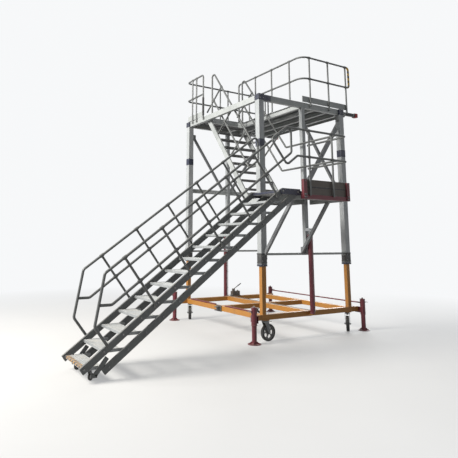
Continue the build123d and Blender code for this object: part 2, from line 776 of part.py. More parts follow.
def landing_guardrail():
    """One rail round the landing's near side: top rail, closed loop over the flight's head, mid rail."""
    top, middle = landing_height + landing_rail_height, landing_height + landing_mid_height
    right_end = landing_right - landing_beam_width
    wall_end = near_y - mid_post / 2 - weld_gap
    high_x, high_z = landing_left - guard_drop_run, landing_height + guard_drop_height
    low_x, low_z = landing_left - guard_low_run, landing_height + guard_low_height
    top_bend = high_x + (top - high_z) / math.tan(slope)
    low_bend = low_x + (middle - low_z) / math.tan(slope)
    flat = [(right_end, top), (top_bend, top), (high_x, high_z), (low_x, low_z), (low_bend, middle), (right_end, middle)]
    path = [(right_end, wall_end, top), *[(x, guard_plane, z) for x, z in flat], (right_end, wall_end, middle)]
    solids = rail_run(path, rail_radius, rail_bend)
    foot = landing_height - plank_thickness - landing_beam_width
    for x in (landing_left + 4 * landing_beam_width, landing_right - 11 * landing_beam_width):
        centres = [(x, guard_plane, middle), (x, guard_plane, top)]
        solids.append(rail_post((x, guard_plane, foot), (1, 0, 0), centres))
    return solids


# Inner stair
def stair_z(y):
    return landing_height + stair_slope * (y - stair_foot)


def stair_y(z):
    return stair_foot + (z - landing_height) / stair_slope


def stair_stringers():
    angle = math.atan(stair_slope)
    half = stair_stringer_depth / 2 / math.cos(angle)
    under_planks = deck_height - plank_thickness
    face = make_face(Polyline(
        (stair_y(landing_height - half), landing_height), (stair_y(landing_height + half), landing_height),
        (stair_head, stair_z(stair_head) - half), (stair_head, under_planks),
        (stair_y(under_planks - half), under_planks), close=True))
    solids = []
    for x in (stair_left, stair_right):
        plane = Plane(origin=(x - stair_stringer_width / 2, 0, 0), x_dir=(0, 1, 0), z_dir=(1, 0, 0))
        solids.append(extrude(plane * face, stair_stringer_width))
    return solids


def stair_treads():
    rise = (deck_height - landing_height) / stair_risers
    inner = stair_stringer_width / 2 + weld_gap
    solids = []
    for number in range(1, stair_risers):
        top = landing_height + number * rise
        y = stair_y(top - stair_tread_thickness / 2)
        solids.append(box((stair_left + inner, stair_right - inner),
                          (y - stair_tread_depth / 2, y + stair_tread_depth / 2), (top - stair_tread_thickness, top)))
    return solids


def stair_handrails():
    """Rails of the inner stair: each runs level at its foot and turns down at the stair's head."""
    angle = math.atan(stair_slope)
    rise, drop = stair_rail_rise / math.cos(angle), stair_mid_drop / math.cos(angle)
    stringer_top = stair_stringer_depth / 2 / math.cos(angle)
    foot_top, foot_mid = landing_height + landing_rail_height, landing_height + landing_mid_height
    head_y = stair_head - stair_tread_depth
    reach = rail_radius + weld_gap
    bend_y, mid_y = stair_y(foot_top - rise), stair_y(foot_mid - rise + drop)
    along = (0, math.cos(angle), math.sin(angle))
    down = Vector(0, math.sin(angle), -math.cos(angle))
    solids = []
    for x, end_y in ((stair_left, near_y + post_face + weld_gap), (stair_right, guard_plane + reach)):
        hoop_foot = stair_z(head_y + rail_radius) + stringer_top + weld_gap
        path = [(x, end_y, foot_top), (x, bend_y, foot_top), (x, head_y, stair_z(head_y) + rise),
                (x, head_y, hoop_foot)]
        solids += rail_run(path, rail_radius, rail_bend)
        mid_path = [(x, end_y, foot_mid), (x, mid_y, foot_mid),
                    (x, head_y - reach, stair_z(head_y - reach) + rise - drop)]
        solids += rail_run(mid_path, rail_radius, rail_bend)
        for share in (0.15, 0.45, 0.75):
            y = bend_y + share * (head_y - bend_y)
            high = Vector(x, y, stair_z(y) + rise)
            foot = high + down * (stair_rail_rise - stair_stringer_depth / 2 - weld_gap)
            solids.append(rail_post(foot, along, [high + down * stair_mid_drop, high]))
    return solids


# Lower flight
def stringer_plate(pivot_x, foot_run, holes):
    """One long flat bar: square foot, round head about the head pin, a hole at each tread pin."""
    length = (steps - 1) * math.hypot(riser, going)
    head = Vector(pivot_x, 0, landing_height - pivot_drop)
    plane = Plane(origin=(head.X, 0, head.Z), x_dir=(math.cos(slope), 0, math.sin(slope)), z_dir=(0, -1, 0))
    run = length + foot_run
    outline = Pos(-run / 2, 0) * Rectangle(run, stringer_depth) + Circle(stringer_depth / 2)
    outline -= Circle(head_pin_radius + pin_gap)
    pitch = math.hypot(riser, going)
    for number in range(1, holes + 1):
        outline -= Pos(-number * pitch, 0) * Circle(tread_pin_radius + pin_gap)
    return extrude(plane * outline, stringer_width / 2, both=True)


def flight_stringers():
    plate = stringer_plate(head_pivot.X, stringer_foot, steps - 1)
    return [Pos(0, flight_centre + side * flight_half_spacing, 0) * plate for side in (-1, 1)]


def link_stringers():
    """Lower bars of the self-levelling linkage, each with a short steep prop at its foot."""
    plate = stringer_plate(head_pivot.X + link_length, link_foot, steps - 1)
    length = (steps - 1) * math.hypot(riser, going)
    foot = Vector(head_pivot.X + link_length - length * math.cos(slope), 0,
                  landing_height - pivot_drop - length * math.sin(slope))
    top = (foot.X - 0.10 * going, 0, foot.Z + 0.61 * riser)
    bottom = (foot.X - 0.71 * going, 0, foot.Z - 0.45 * riser)
    plate += bar(top, bottom, prop_width, prop_depth)
    plate += box((bottom[0] - prop_depth, bottom[0] + prop_depth / 2), (-prop_width / 2, prop_width / 2),
                 (bottom[2] - prop_depth / 2, bottom[2] + prop_depth / 4))
    return [Pos(0, flight_centre + side * flight_half_spacing, 0) * plate for side in (-1, 1)]


def tread_section():
    """Extruded plank: a ribbed top with a lip down each long edge."""
    ribs = []
    pitch = tread_depth / (2 * tread_ribs + 1)
    for number in range(tread_ribs + 1):
        start = 2 * number * pitch
        ribs += [(start, -rib_height), (start, 0), (start + pitch, 0), (start + pitch, -rib_height)]
    skin = tread_skin + rib_height
    points = [(0, -tread_height), *ribs[1:-1], (tread_depth, -tread_height), (tread_depth - skin, -tread_height),
              (tread_depth - skin, -skin), (skin, -skin), (skin, -tread_height)]
    return make_face(Polyline(*points, close=True))


def flight_tread(number):
    """A tread with its two level side bars and the four pins that join both pairs of stringers."""
    front = head_nosing - (steps - number) * going
    top = number * riser
    outer = flight_half_spacing - stringer_width / 2 - side_gap
    inner = outer - side_bar_thickness
    plane = Plane(origin=(front, flight_centre + inner, top), x_dir=(1, 0, 0), z_dir=(0, -1, 0))
    tread = extrude(plane * tread_section(), 2 * inner)
    pivot_x, pivot_z = front + pivot_back, top - pivot_drop
    for side in (-1, 1):
        face = flight_centre + side * outer
        bar_plane = Plane(origin=(pivot_x + link_length / 2, face, pivot_z), x_dir=(1, 0, 0), z_dir=(0, -side, 0))
        tread += extrude(bar_plane * SlotCenterToCenter(link_length, side_bar_height), side_bar_thickness)
        for x in (pivot_x, pivot_x + link_length):
            end = flight_centre + side * (flight_half_spacing + stringer_width / 2 - 1)
            tread += rod((x, face, pivot_z), (x, end, pivot_z), tread_pin_radius)
    if number == 1:
        half = small_plate / 2
        for side in (-1, 1):
            x, y = front + small_castor_back, flight_centre + side * small_castor_half_spacing
            carrier = box((x - half, x + half), (y - half, y + half),
                          (small_castor_top, top - tread_skin - rib_height + 1))
            carrier -= Pos(x, y, small_castor_top) * Cylinder(small_pin_radius + pin_gap, 2 * side_bar_height)
            tread += carrier
    return tread


def flight_handrails():
    """Each side: one rail from the foot up over the top, round the closed head and back as the mid rail."""
    solids = []
    rail_out = flight_half_spacing + stringer_width / 2 + foot_block + post_radius
    foot_x, back_x, top_x = [foot_nosing + run for run in (loop_foot_run, loop_back_run, loop_top_run)]
    bend_x, end_x = foot_nosing + mid_bend_run, foot_nosing + mid_end_run
    along = (math.cos(slope), 0, math.sin(slope))
    square = Vector(-math.sin(slope), 0, math.cos(slope))
    mid_up = rail_rise - mid_rail_drop * math.cos(slope)
    for side, head_x in ((-1, landing_left - head_loop_reach), (1, landing_left - head_loop_reach - rail_radius)):
        y = flight_centre + side * rail_out
        path = [(foot_x, line_z(foot_x, stringer_depth / 4)), (back_x, loop_back_height),
                (top_x, line_z(top_x, rail_rise)), (head_x, line_z(head_x, rail_rise)),
                (head_x, line_z(head_x, mid_up)), (bend_x, line_z(bend_x, mid_up)), (end_x, line_z(bend_x, mid_up))]
        solids += rail_run([(x, y, z) for x, z in path], rail_radius, rail_bend)
        for number in range(handrail_posts):
            post_x = foot_nosing + first_post_run + number * post_pitch
            foot = Vector(post_x, y, line_z(post_x, 0))
            post = rail_post(foot, along, [foot + square * mid_up, foot + square * rail_rise])
            block_y = sorted((y, flight_centre + side * (flight_half_spacing + stringer_width / 2 + weld_gap)))
            block = box((post_x - post_radius, post_x + post_radius), block_y,
                        (foot.Z - post_radius, foot.Z + post_radius))
            solids.append(post + block)
    return solids


# Small castors: the fork turns under the first tread
def small_swivel(side):
    return foot_nosing + small_castor_back, flight_centre + side * small_castor_half_spacing


def small_fork(side, heading):
    inner = small_wheel_width / 2 + side_gap / 2
    outer = inner + small_arm_thickness
    crown_top = small_castor_top - weld_gap
    fork = box((-small_plate / 3, small_plate / 2), (-outer, outer), (crown_top - 2 * small_arm_thickness, crown_top))
    for way in (-1, 1):
        boss = Pos(small_trail, small_wheel_radius) * Circle(small_axle_radius * 2)
        head = Pos(0, crown_top - small_arm_thickness) * Rectangle(small_plate / 2, small_arm_thickness)
        outline = make_hull([*boss.edges(), *head.edges()])
        arm_y = sorted((way * inner, way * outer))
        arm = Plane(origin=(0, arm_y[1], 0), x_dir=(1, 0, 0), z_dir=(0, -1, 0)) * outline
        fork += extrude(arm, small_arm_thickness)
    fork += rod((0, 0, crown_top - small_arm_thickness), (0, 0, small_castor_top + side_bar_height / 3),
                small_pin_radius)
    fork += rod((small_trail, -outer - side_gap / 2, small_wheel_radius),
                (small_trail, outer + side_gap / 2, small_wheel_radius), small_axle_radius)
    x, y = small_swivel(side)
    return Pos(x, y, 0) * Rot(0, 0, heading) * fork


def small_wheel(side, heading):
    half = small_wheel_width / 2
    edge = small_wheel_width / 5
    section = Polyline(
        (small_axle_radius + pin_gap, -half), (small_wheel_radius - edge, -half), (small_wheel_radius, -half + edge),
        (small_wheel_radius, half - edge), (small_wheel_radius - edge, half), (small_axle_radius + pin_gap, half),
        close=True)
    wheel = revolve(make_face(section), Axis.Y)
    x, y = small_swivel(side)
    return Pos(x, y, 0) * Rot(0, 0, heading) * Pos(small_trail, 0, small_wheel_radius) * wheel


def stand():
    """Every piece of the stand, by the name of its node."""
    pieces = {
        "base_frame": base_frame(),
        "inner_posts": inner_posts(),
        "tow_bracket": tow_bracket(),
        "jack_sleeves": jack_sleeves(),
        "stay_rods": stay_rods(),
        "ram_barrels": ram_barrels() + ram_pipes(),
        "pump_unit": pump_unit(),
        "outer_posts": outer_posts(),
        "post_collars": post_collars(),
        "deck_frame": deck_frame(),
        "braces": braces(),
        "deck_planks": deck_planks(),
        "toe_boards": toe_boards(),
        "deck_guardrail": deck_guardrail(),
        "bumper_pads": bumper_pads(),
        "ram_rods": ram_rods(),
        "landing_frame": landing_frame(),
        "landing_front": landing_front(),
        "landing_panels": landing_panels(),
        "flight_heads": flight_heads(),
        "landing_guardrail": landing_guardrail(),
        "stair_stringers": stair_stringers(),
        "stair_treads": stair_treads(),
        "stair_handrails": stair_handrails(),
        "flight_stringers": flight_stringers(),
        "link_stringers": link_stringers(),
        "flight_handrails": flight_handrails(),
    }
    for corner in corners:
        pieces["jack_leg_" + corner[0]] = [jack_leg(corner)]
        pieces["castor_fork_" + corner[0]] = [castor_fork(corner)]
        pieces["castor_tyre_" + corner[0]] = [castor_tyre(corner)]
        pieces["castor_hub_" + corner[0]] = [castor_hub(corner)]
    for number in range(1, steps):
        pieces["tread_%02d" % number] = [flight_tread(number)]
    for name, side, heading in (("near", -1, 30.0), ("far", 1, 20.0)):
        pieces["small_fork_" + name] = [small_fork(side, heading)]
        pieces["small_wheel_" + name] = [small_wheel(side, heading)]
    return pieces


def solids_of(shapes):
    return [solid for shape in shapes for solid in shape.solids()]


pieces = {name: solids_of(shapes) for name, shapes in stand().items()}
extent = Compound([solid for solids in pieces.values() for solid in solids]).bounding_box()
origin = Vector((extent.min.X + extent.max.X) / 2, (extent.min.Y + extent.max.Y) / 2, 0)

os.makedirs("parts", exist_ok=True)
for name, solids in pieces.items():
    placed = [Pos(-origin.X, -origin.Y, 0) * solid for solid in solids]
    shape = placed[0] if len(placed) == 1 else Compound(placed)
    export_step(shape, "parts/" + name + ".step")
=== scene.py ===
import math
import random
import bmesh
import bpy
from mathutils import Matrix, Vector


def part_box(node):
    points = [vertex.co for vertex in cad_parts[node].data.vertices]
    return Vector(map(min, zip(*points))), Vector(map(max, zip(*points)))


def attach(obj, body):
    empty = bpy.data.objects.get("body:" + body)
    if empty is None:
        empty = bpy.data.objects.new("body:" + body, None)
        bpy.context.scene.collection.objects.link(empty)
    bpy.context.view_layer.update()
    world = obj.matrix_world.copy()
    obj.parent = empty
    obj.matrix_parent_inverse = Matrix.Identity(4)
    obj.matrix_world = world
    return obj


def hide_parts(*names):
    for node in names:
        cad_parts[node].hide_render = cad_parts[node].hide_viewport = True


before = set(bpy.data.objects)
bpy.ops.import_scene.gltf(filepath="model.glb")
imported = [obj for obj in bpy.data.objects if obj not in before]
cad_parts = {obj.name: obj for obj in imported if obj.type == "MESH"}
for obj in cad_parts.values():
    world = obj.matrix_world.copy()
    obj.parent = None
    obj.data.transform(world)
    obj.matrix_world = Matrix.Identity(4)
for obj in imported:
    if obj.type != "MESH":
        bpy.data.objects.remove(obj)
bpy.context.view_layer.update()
print("frame loaded:", len(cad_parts), "nodes")

# Sizes below are written in mm, counted from the foot of the tower's near left post.
postHalf = 0.045
postLow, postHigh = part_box("inner_posts")
corner = Vector((postLow.x + postHalf, postLow.y + postHalf, 0.0))
towerWidth = (postHigh.x - postLow.x - 2 * postHalf) * 1000
towerDepth = (postHigh.y - postLow.y - 2 * postHalf) * 1000
random.seed(7)
across, back, up = Vector((1, 0, 0)), Vector((0, 1, 0)), Vector((0, 0, 1))


def at(x, y, z):
    return corner + Vector((x, y, z)) / 1000


# Camera, at the photograph's place and angle
camera = {"place": (-5986.6, -7695.5, 1880.0), "yaw": 58.961, "pitch": 10.959, "roll": 0.342,
          "focal": 478.385, "centre": (203.879, 148.490), "image": 458}


def makeCamera():
    yaw, pitch, roll = (math.radians(camera[key]) for key in ("yaw", "pitch", "roll"))
    ahead = Vector((math.cos(yaw) * math.cos(pitch), math.sin(yaw) * math.cos(pitch), math.sin(pitch)))
    right = Vector((math.sin(yaw), -math.cos(yaw), 0.0))
    above = right.cross(ahead)
    turnedRight = math.cos(roll) * right + math.sin(roll) * above
    turnedUp = math.cos(roll) * above - math.sin(roll) * right
    data = bpy.data.cameras.new("photoCamera")
    data.sensor_width = 36.0
    data.lens = camera["focal"] / camera["image"] * 36.0
    data.shift_x = (camera["image"] / 2 - camera["centre"][0]) / camera["image"]
    data.shift_y = (camera["centre"][1] - camera["image"] / 2) / camera["image"]
    data.clip_end = 500.0
    eye = bpy.data.objects.new("photoCamera", data)
    bpy.context.scene.collection.objects.link(eye)
    turn = Matrix((turnedRight, turnedUp, -ahead)).transposed()
    eye.matrix_world = Matrix.Translation(at(*camera["place"])) @ turn.to_4x4()
    bpy.context.scene.camera = eye


makeCamera()


# Shader node groups that several finishes share
def newGroup(name, inputs, output):
    group = bpy.data.node_groups.new(name, "ShaderNodeTree")
    for label, kind, value in inputs:
        socket = group.interface.new_socket(name=label, in_out="INPUT", socket_type=kind)
        if value is not None:
            socket.default_value = value
    for label, kind in output:
        group.interface.new_socket(name=label, in_out="OUTPUT", socket_type=kind)
    nodes = group.nodes
    return group, nodes, nodes.new("NodeGroupInput"), nodes.new("NodeGroupOutput"), group.links.new


def mathNode(nodes, link, operation, first, second=None, clamp=False):
    node = nodes.new("ShaderNodeMath")
    node.operation = operation
    node.use_clamp = clamp
    for socket, value in zip(node.inputs, (first, second)):
        if value is None:
            continue
        if isinstance(value, (int, float)):
            socket.default_value = value
        else:
            link(value, socket)
    return node.outputs[0]


def rangeNode(nodes, link, value, low, high, outLow=0.0, outHigh=1.0):
    node = nodes.new("ShaderNodeMapRange")
    node.clamp = True
    link(value, node.inputs["Value"])
    for label, number in (("From Min", low), ("From Max", high), ("To Min", outLow), ("To Max", outHigh)):
        if isinstance(number, (int, float)):
            node.inputs[label].default_value = number
        else:
            link(number, node.inputs[label])
    return node.outputs["Result"]


def objectPlace(nodes, link, scale=(1, 1, 1)):
    place = nodes.new("ShaderNodeTexCoord").outputs["Object"]
    if tuple(scale) == (1, 1, 1):
        return place
    mapping = nodes.new("ShaderNodeMapping")
    link(place, mapping.inputs["Vector"])
    mapping.inputs["Scale"].default_value = scale
    return mapping.outputs["Vector"]


def noiseNode(nodes, link, vector, scale, detail=4.0, rough=0.55):
    node = nodes.new("ShaderNodeTexNoise")
    link(vector, node.inputs["Vector"])
    if isinstance(scale, (int, float)):
        node.inputs["Scale"].default_value = scale
    else:
        link(scale, node.inputs["Scale"])
    node.inputs["Detail"].default_value = detail
    node.inputs["Roughness"].default_value = rough
    return node.outputs["Fac"]


def makeEdgeWear():
    group, nodes, enter, leave, link = newGroup("edgeWear", [
        ("Reach", "NodeSocketFloat", 0.004), ("Breakup", "NodeSocketFloat", 60.0), ("Amount", "NodeSocketFloat", 0.6),
    ], [("Mask", "NodeSocketFloat")])
    rounded = nodes.new("ShaderNodeBevel")
    rounded.samples = 4
    link(enter.outputs["Reach"], rounded.inputs["Radius"])
    flat = nodes.new("ShaderNodeNewGeometry")
    dot = nodes.new("ShaderNodeVectorMath")
    dot.operation = "DOT_PRODUCT"
    link(rounded.outputs["Normal"], dot.inputs[0])
    link(flat.outputs["True Normal"], dot.inputs[1])
    edge = rangeNode(nodes, link, dot.outputs["Value"], 0.995, 0.90)
    spots = noiseNode(nodes, link, objectPlace(nodes, link), enter.outputs["Breakup"], 5.0, 0.65)
    worn = rangeNode(nodes, link, spots, 0.42, 0.60)
    mask = mathNode(nodes, link, "MULTIPLY", edge, worn)
    link(mathNode(nodes, link, "MULTIPLY", mask, enter.outputs["Amount"], True), leave.inputs["Mask"])
    return group


def makeGrime():
    group, nodes, enter, leave, link = newGroup("grime", [
        ("Scale", "NodeSocketFloat", 3.0), ("Low", "NodeSocketFloat", 0.45), ("High", "NodeSocketFloat", 0.7),
    ], [("Mask", "NodeSocketFloat")])
    place = objectPlace(nodes, link)
    wide = noiseNode(nodes, link, place, enter.outputs["Scale"], 6.0, 0.6)
    fine = noiseNode(nodes, link, place, mathNode(nodes, link, "MULTIPLY", enter.outputs["Scale"], 9.0), 4.0, 0.6)
    both = mathNode(nodes, link, "ADD", mathNode(nodes, link, "MULTIPLY", wide, 0.7),
                    mathNode(nodes, link, "MULTIPLY", fine, 0.3))
    link(rangeNode(nodes, link, both, enter.outputs["Low"], enter.outputs["High"]), leave.inputs["Mask"])
    return group


def makeRunMarks():
    group, nodes, enter, leave, link = newGroup("runMarks", [
        ("Spacing", "NodeSocketFloat", 1.0), ("Amount", "NodeSocketFloat", 0.5),
    ], [("Mask", "NodeSocketFloat")])
    place = objectPlace(nodes, link, (38.0, 38.0, 1.1))
    lines = noiseNode(nodes, link, place, enter.outputs["Spacing"], 3.0, 0.5)
    fade = noiseNode(nodes, link, objectPlace(nodes, link), 2.2, 2.0, 0.5)
    mask = mathNode(nodes, link, "MULTIPLY", rangeNode(nodes, link, lines, 0.52, 0.72),
                    rangeNode(nodes, link, fade, 0.4, 0.65))
    link(mathNode(nodes, link, "MULTIPLY", mask, enter.outputs["Amount"], True), leave.inputs["Mask"])
    return group


def makeSettledDust():
    group, nodes, enter, leave, link = newGroup("settledDust", [
        ("Amount", "NodeSocketFloat", 0.5), ("Scale", "NodeSocketFloat", 8.0),
    ], [("Mask", "NodeSocketFloat")])
    facing = nodes.new("ShaderNodeNewGeometry")
    split = nodes.new("ShaderNodeSeparateXYZ")
    link(facing.outputs["Normal"], split.inputs[0])
    flat = rangeNode(nodes, link, split.outputs["Z"], 0.35, 0.95)
    spots = noiseNode(nodes, link, objectPlace(nodes, link), enter.outputs["Scale"], 6.0, 0.62)
    patch = rangeNode(nodes, link, spots, 0.35, 0.72)
    mask = mathNode(nodes, link, "MULTIPLY", flat, patch)
    link(mathNode(nodes, link, "MULTIPLY", mask, enter.outputs["Amount"], True), leave.inputs["Mask"])
    return group


def makeDrawnGrain():
    group, nodes, enter, leave, link = newGroup("drawnGrain", [
        ("Stretch", "NodeSocketVector", (1.0, 1.0, 1.0)), ("Scale", "NodeSocketFloat", 400.0),
    ], [("Height", "NodeSocketFloat")])
    mapping = nodes.new("ShaderNodeVectorMath")
    mapping.operation = "MULTIPLY"
    link(objectPlace(nodes, link), mapping.inputs[0])
    link(enter.outputs["Stretch"], mapping.inputs[1])
    link(noiseNode(nodes, link, mapping.outputs["Vector"], enter.outputs["Scale"], 3.0, 0.7), leave.inputs["Height"])
    return group


edgeWear = makeEdgeWear()
grime = makeGrime()
runMarks = makeRunMarks()
settledDust = makeSettledDust()
drawnGrain = makeDrawnGrain()


def useGroup(nodes, group, **values):
    node = nodes.new("ShaderNodeGroup")
    node.node_tree = group
    for label, value in values.items():
        node.inputs[label].default_value = value
    return node.outputs[0]


def mixColour(nodes, link, factor, first, second):
    node = nodes.new("ShaderNodeMix")
    node.data_type = "RGBA"
    if isinstance(factor, (int, float)):
        node.inputs["Factor"].default_value = factor
    else:
        link(factor, node.inputs["Factor"])
    for socket, value in ((node.inputs[6], first), (node.inputs[7], second)):
        if isinstance(value, tuple):
            socket.default_value = (*value, 1.0)
        else:
            link(value, socket)
    return node.outputs[2]


def startMaterial(name):
    material = bpy.data.materials.new(name)
    material.use_nodes = True
    nodes, link = material.node_tree.nodes, material.node_tree.links.new
    shader = nodes["Principled BSDF"]
    return material, nodes, link, shader


def bumpInto(nodes, link, shader, height, strength, distance):
    bump = nodes.new("ShaderNodeBump")
    bump.inputs["Strength"].default_value = strength
    bump.inputs["Distance"].default_value = distance
    link(height, bump.inputs["Height"])
    link(bump.outputs["Normal"], shader.inputs["Normal"])


def bareMetal(name, look):
    material, nodes, link, shader = startMaterial(name)
    stained = useGroup(nodes, grime, Scale=look["patch"], Low=0.42, High=0.66)
    marks = useGroup(nodes, runMarks, Spacing=1.0, Amount=look["marks"])
    dusty = useGroup(nodes, settledDust, Amount=look["dust"], Scale=7.0)
    bright = useGroup(nodes, edgeWear, Reach=0.0025, Breakup=45.0, Amount=look["wear"])
    colour = mixColour(nodes, link, stained, look["colour"], look["stain"])
    colour = mixColour(nodes, link, marks, colour, look["mark"])
    colour = mixColour(nodes, link, dusty, colour, tanDust)
    colour = mixColour(nodes, link, bright, colour, look["edge"])
    link(colour, shader.inputs["Base Color"])
    grain = useGroup(nodes, drawnGrain, Stretch=look["stretch"], Scale=look["grain"])
    rough = rangeNode(nodes, link, grain, 0.3, 0.7, look["rough"][0], look["rough"][1])
    rough = mathNode(nodes, link, "ADD", rough, mathNode(nodes, link, "MULTIPLY", dusty, 0.25), True)
    link(rough, shader.inputs["Roughness"])
    metal = mathNode(nodes, link, "SUBTRACT", look["metal"], mathNode(nodes, link, "MULTIPLY", dusty, 0.5), True)
    link(metal, shader.inputs["Metallic"])
    bumpInto(nodes, link, shader, grain, look["bump"], 0.0004)
    return material


def sprayedPaint(name, look):
    material, nodes, link, shader = startMaterial(name)
    patches = useGroup(nodes, grime, Scale=look["patch"], Low=0.40, High=0.70)
    chips = useGroup(nodes, edgeWear, Reach=0.005, Breakup=look["breakup"], Amount=look["wear"])
    scrapes = useGroup(nodes, grime, Scale=14.0, Low=0.635, High=0.66)
    marks = useGroup(nodes, runMarks, Spacing=0.9, Amount=look["marks"])
    dusty = useGroup(nodes, settledDust, Amount=look["dust"], Scale=5.0)
    colour = mixColour(nodes, link, patches, look["colour"], look["faded"])
    colour = mixColour(nodes, link, marks, colour, look["mark"])
    colour = mixColour(nodes, link, dusty, colour, tanDust)
    bare = mathNode(nodes, link, "MAXIMUM", chips, mathNode(nodes, link, "MULTIPLY", scrapes, look["scrape"]))
    colour = mixColour(nodes, link, bare, colour, look["primer"])
    link(colour, shader.inputs["Base Color"])
    skin = noiseNode(nodes, link, objectPlace(nodes, link), 420.0, 2.0, 0.5)
    rough = rangeNode(nodes, link, patches, 0.0, 1.0, look["rough"][0], look["rough"][1])
    rough = mathNode(nodes, link, "ADD", rough, mathNode(nodes, link, "MULTIPLY", dusty, 0.3), True)
    link(rough, shader.inputs["Roughness"])
    height = mathNode(nodes, link, "SUBTRACT", mathNode(nodes, link, "MULTIPLY", skin, 0.25), bare)
    bumpInto(nodes, link, shader, height, 0.35, 0.0006)
    return material


tanDust = (0.46, 0.40, 0.31)
metalBase = {"marks": 0.2, "dust": 0.35, "wear": 0.5, "stretch": (1.0, 1.0, 1.0), "grain": 260.0, "metal": 0.1,
             "bump": 0.12, "mark": (0.2, 0.2, 0.19)}
metalLooks = {
    "millAluminium": {**metalBase, "colour": (0.42, 0.44, 0.45), "stain": (0.31, 0.33, 0.34),
                      "mark": (0.22, 0.22, 0.21), "edge": (0.66, 0.67, 0.67), "patch": 1.7, "marks": 0.45,
                      "stretch": (1.0, 1.0, 0.04), "rough": (0.4, 0.56)},
    "beamAluminium": {**metalBase, "colour": (0.4, 0.42, 0.42), "stain": (0.29, 0.31, 0.31),
                      "edge": (0.62, 0.63, 0.62), "patch": 1.7, "marks": 0.45, "stretch": (0.06, 0.06, 1.0),
                      "rough": (0.4, 0.56)},
    # The braces' aluminium below is a darker copy of the posts' aluminium: its colour is painted shade.
    "shadedBraceAluminium": {**metalBase, "colour": (0.24, 0.25, 0.26), "stain": (0.17, 0.18, 0.19),
                       "edge": (0.55, 0.55, 0.54), "patch": 2.2, "marks": 0.4, "stretch": (0.06, 0.06, 1.0),
                       "rough": (0.4, 0.56)},
    # The stringers' aluminium below is a darker copy of the same aluminium: its colour is painted shade of their
    # shaded sides.
    "shadedSideAluminium": {**metalBase, "colour": (0.13, 0.14, 0.142), "stain": (0.092, 0.098, 0.098),
                      "mark": (0.18, 0.17, 0.155), "edge": (0.4, 0.4, 0.39), "patch": 2.6, "marks": 0.5,
                      "dust": 0.3, "stretch": (0.06, 1.0, 0.06), "rough": (0.42, 0.58), "metal": 0.12},
    # The rails' tube aluminium below is darker for the same reason: its colour is painted shade.
    "shadedTubeAluminium": {**metalBase, "colour": (0.125, 0.132, 0.132), "stain": (0.088, 0.092, 0.09),
                      "mark": (0.17, 0.16, 0.15), "edge": (0.36, 0.36, 0.35), "patch": 4.0, "marks": 0.3,
                      "dust": 0.2, "wear": 0.2, "grain": 500.0, "rough": (0.34, 0.5), "metal": 0.2, "bump": 0.08},
    "clampCasting": {**metalBase, "colour": (0.075, 0.075, 0.075), "stain": (0.05, 0.05, 0.05),
                     "mark": (0.12, 0.11, 0.1), "edge": (0.34, 0.34, 0.33), "patch": 12.0, "dust": 0.25,
                     "grain": 300.0, "rough": (0.45, 0.65), "metal": 0.35, "bump": 0.35},
    "treadAluminium": {**metalBase, "colour": (0.36, 0.38, 0.39), "stain": (0.26, 0.275, 0.28),
                       "mark": (0.2, 0.19, 0.175), "edge": (0.72, 0.73, 0.73), "patch": 5.0, "dust": 0.5,
                       "wear": 0.6, "stretch": (1.0, 0.05, 1.0), "grain": 300.0, "rough": (0.42, 0.6),
                       "metal": 0.15, "bump": 0.15},
    # The stair treads' aluminium below is a darker copy of the tread aluminium: painted shade on treads seen from
    # below.
    "shadedTread": {**metalBase, "colour": (0.16, 0.16, 0.16), "stain": (0.1, 0.1, 0.1), "mark": (0.2, 0.19, 0.17),
                  "edge": (0.5, 0.5, 0.49), "patch": 5.0, "dust": 0.45, "wear": 0.7, "stretch": (0.05, 1.0, 1.0),
                  "grain": 300.0, "rough": (0.5, 0.68), "metal": 0.4, "bump": 0.15},
    "zincSteel": {**metalBase, "colour": (0.3, 0.31, 0.31), "stain": (0.21, 0.22, 0.22), "mark": (0.26, 0.2, 0.14),
                  "edge": (0.66, 0.66, 0.66), "patch": 22.0, "marks": 0.25, "dust": 0.4, "wear": 0.4,
                  "grain": 180.0, "rough": (0.38, 0.58), "metal": 0.75, "bump": 0.15},
    # The fork steel below is a darker copy of the zinc steel: its colour is painted shade, used on castor forks and
    # on bolts.
    "shadedForkSteel": {**metalBase, "colour": (0.16, 0.165, 0.17), "stain": (0.11, 0.11, 0.115),
                  "mark": (0.2, 0.14, 0.09), "edge": (0.5, 0.5, 0.5), "patch": 20.0, "marks": 0.3, "dust": 0.4,
                  "grain": 180.0, "rough": (0.4, 0.6), "metal": 0.6, "bump": 0.15},
    "castHub": {**metalBase, "colour": (0.19, 0.19, 0.19), "stain": (0.13, 0.12, 0.12), "mark": (0.18, 0.12, 0.08),
                "edge": (0.44, 0.44, 0.43), "patch": 18.0, "marks": 0.15, "dust": 0.4, "wear": 0.6, "grain": 240.0,
                "rough": (0.5, 0.7), "metal": 0.5, "bump": 0.4},
    "polishedRod": {**metalBase, "colour": (0.4, 0.405, 0.41), "stain": (0.33, 0.33, 0.33),
                    "mark": (0.3, 0.28, 0.25), "edge": (0.6, 0.6, 0.6), "patch": 8.0, "marks": 0.15, "dust": 0.15,
                    "wear": 0.1, "stretch": (1.0, 1.0, 0.03), "grain": 500.0, "rough": (0.12, 0.24), "metal": 1.0,
                    "bump": 0.04},
}
paintBase = {"marks": 0.5, "dust": 0.35, "wear": 0.6, "scrape": 0.5}
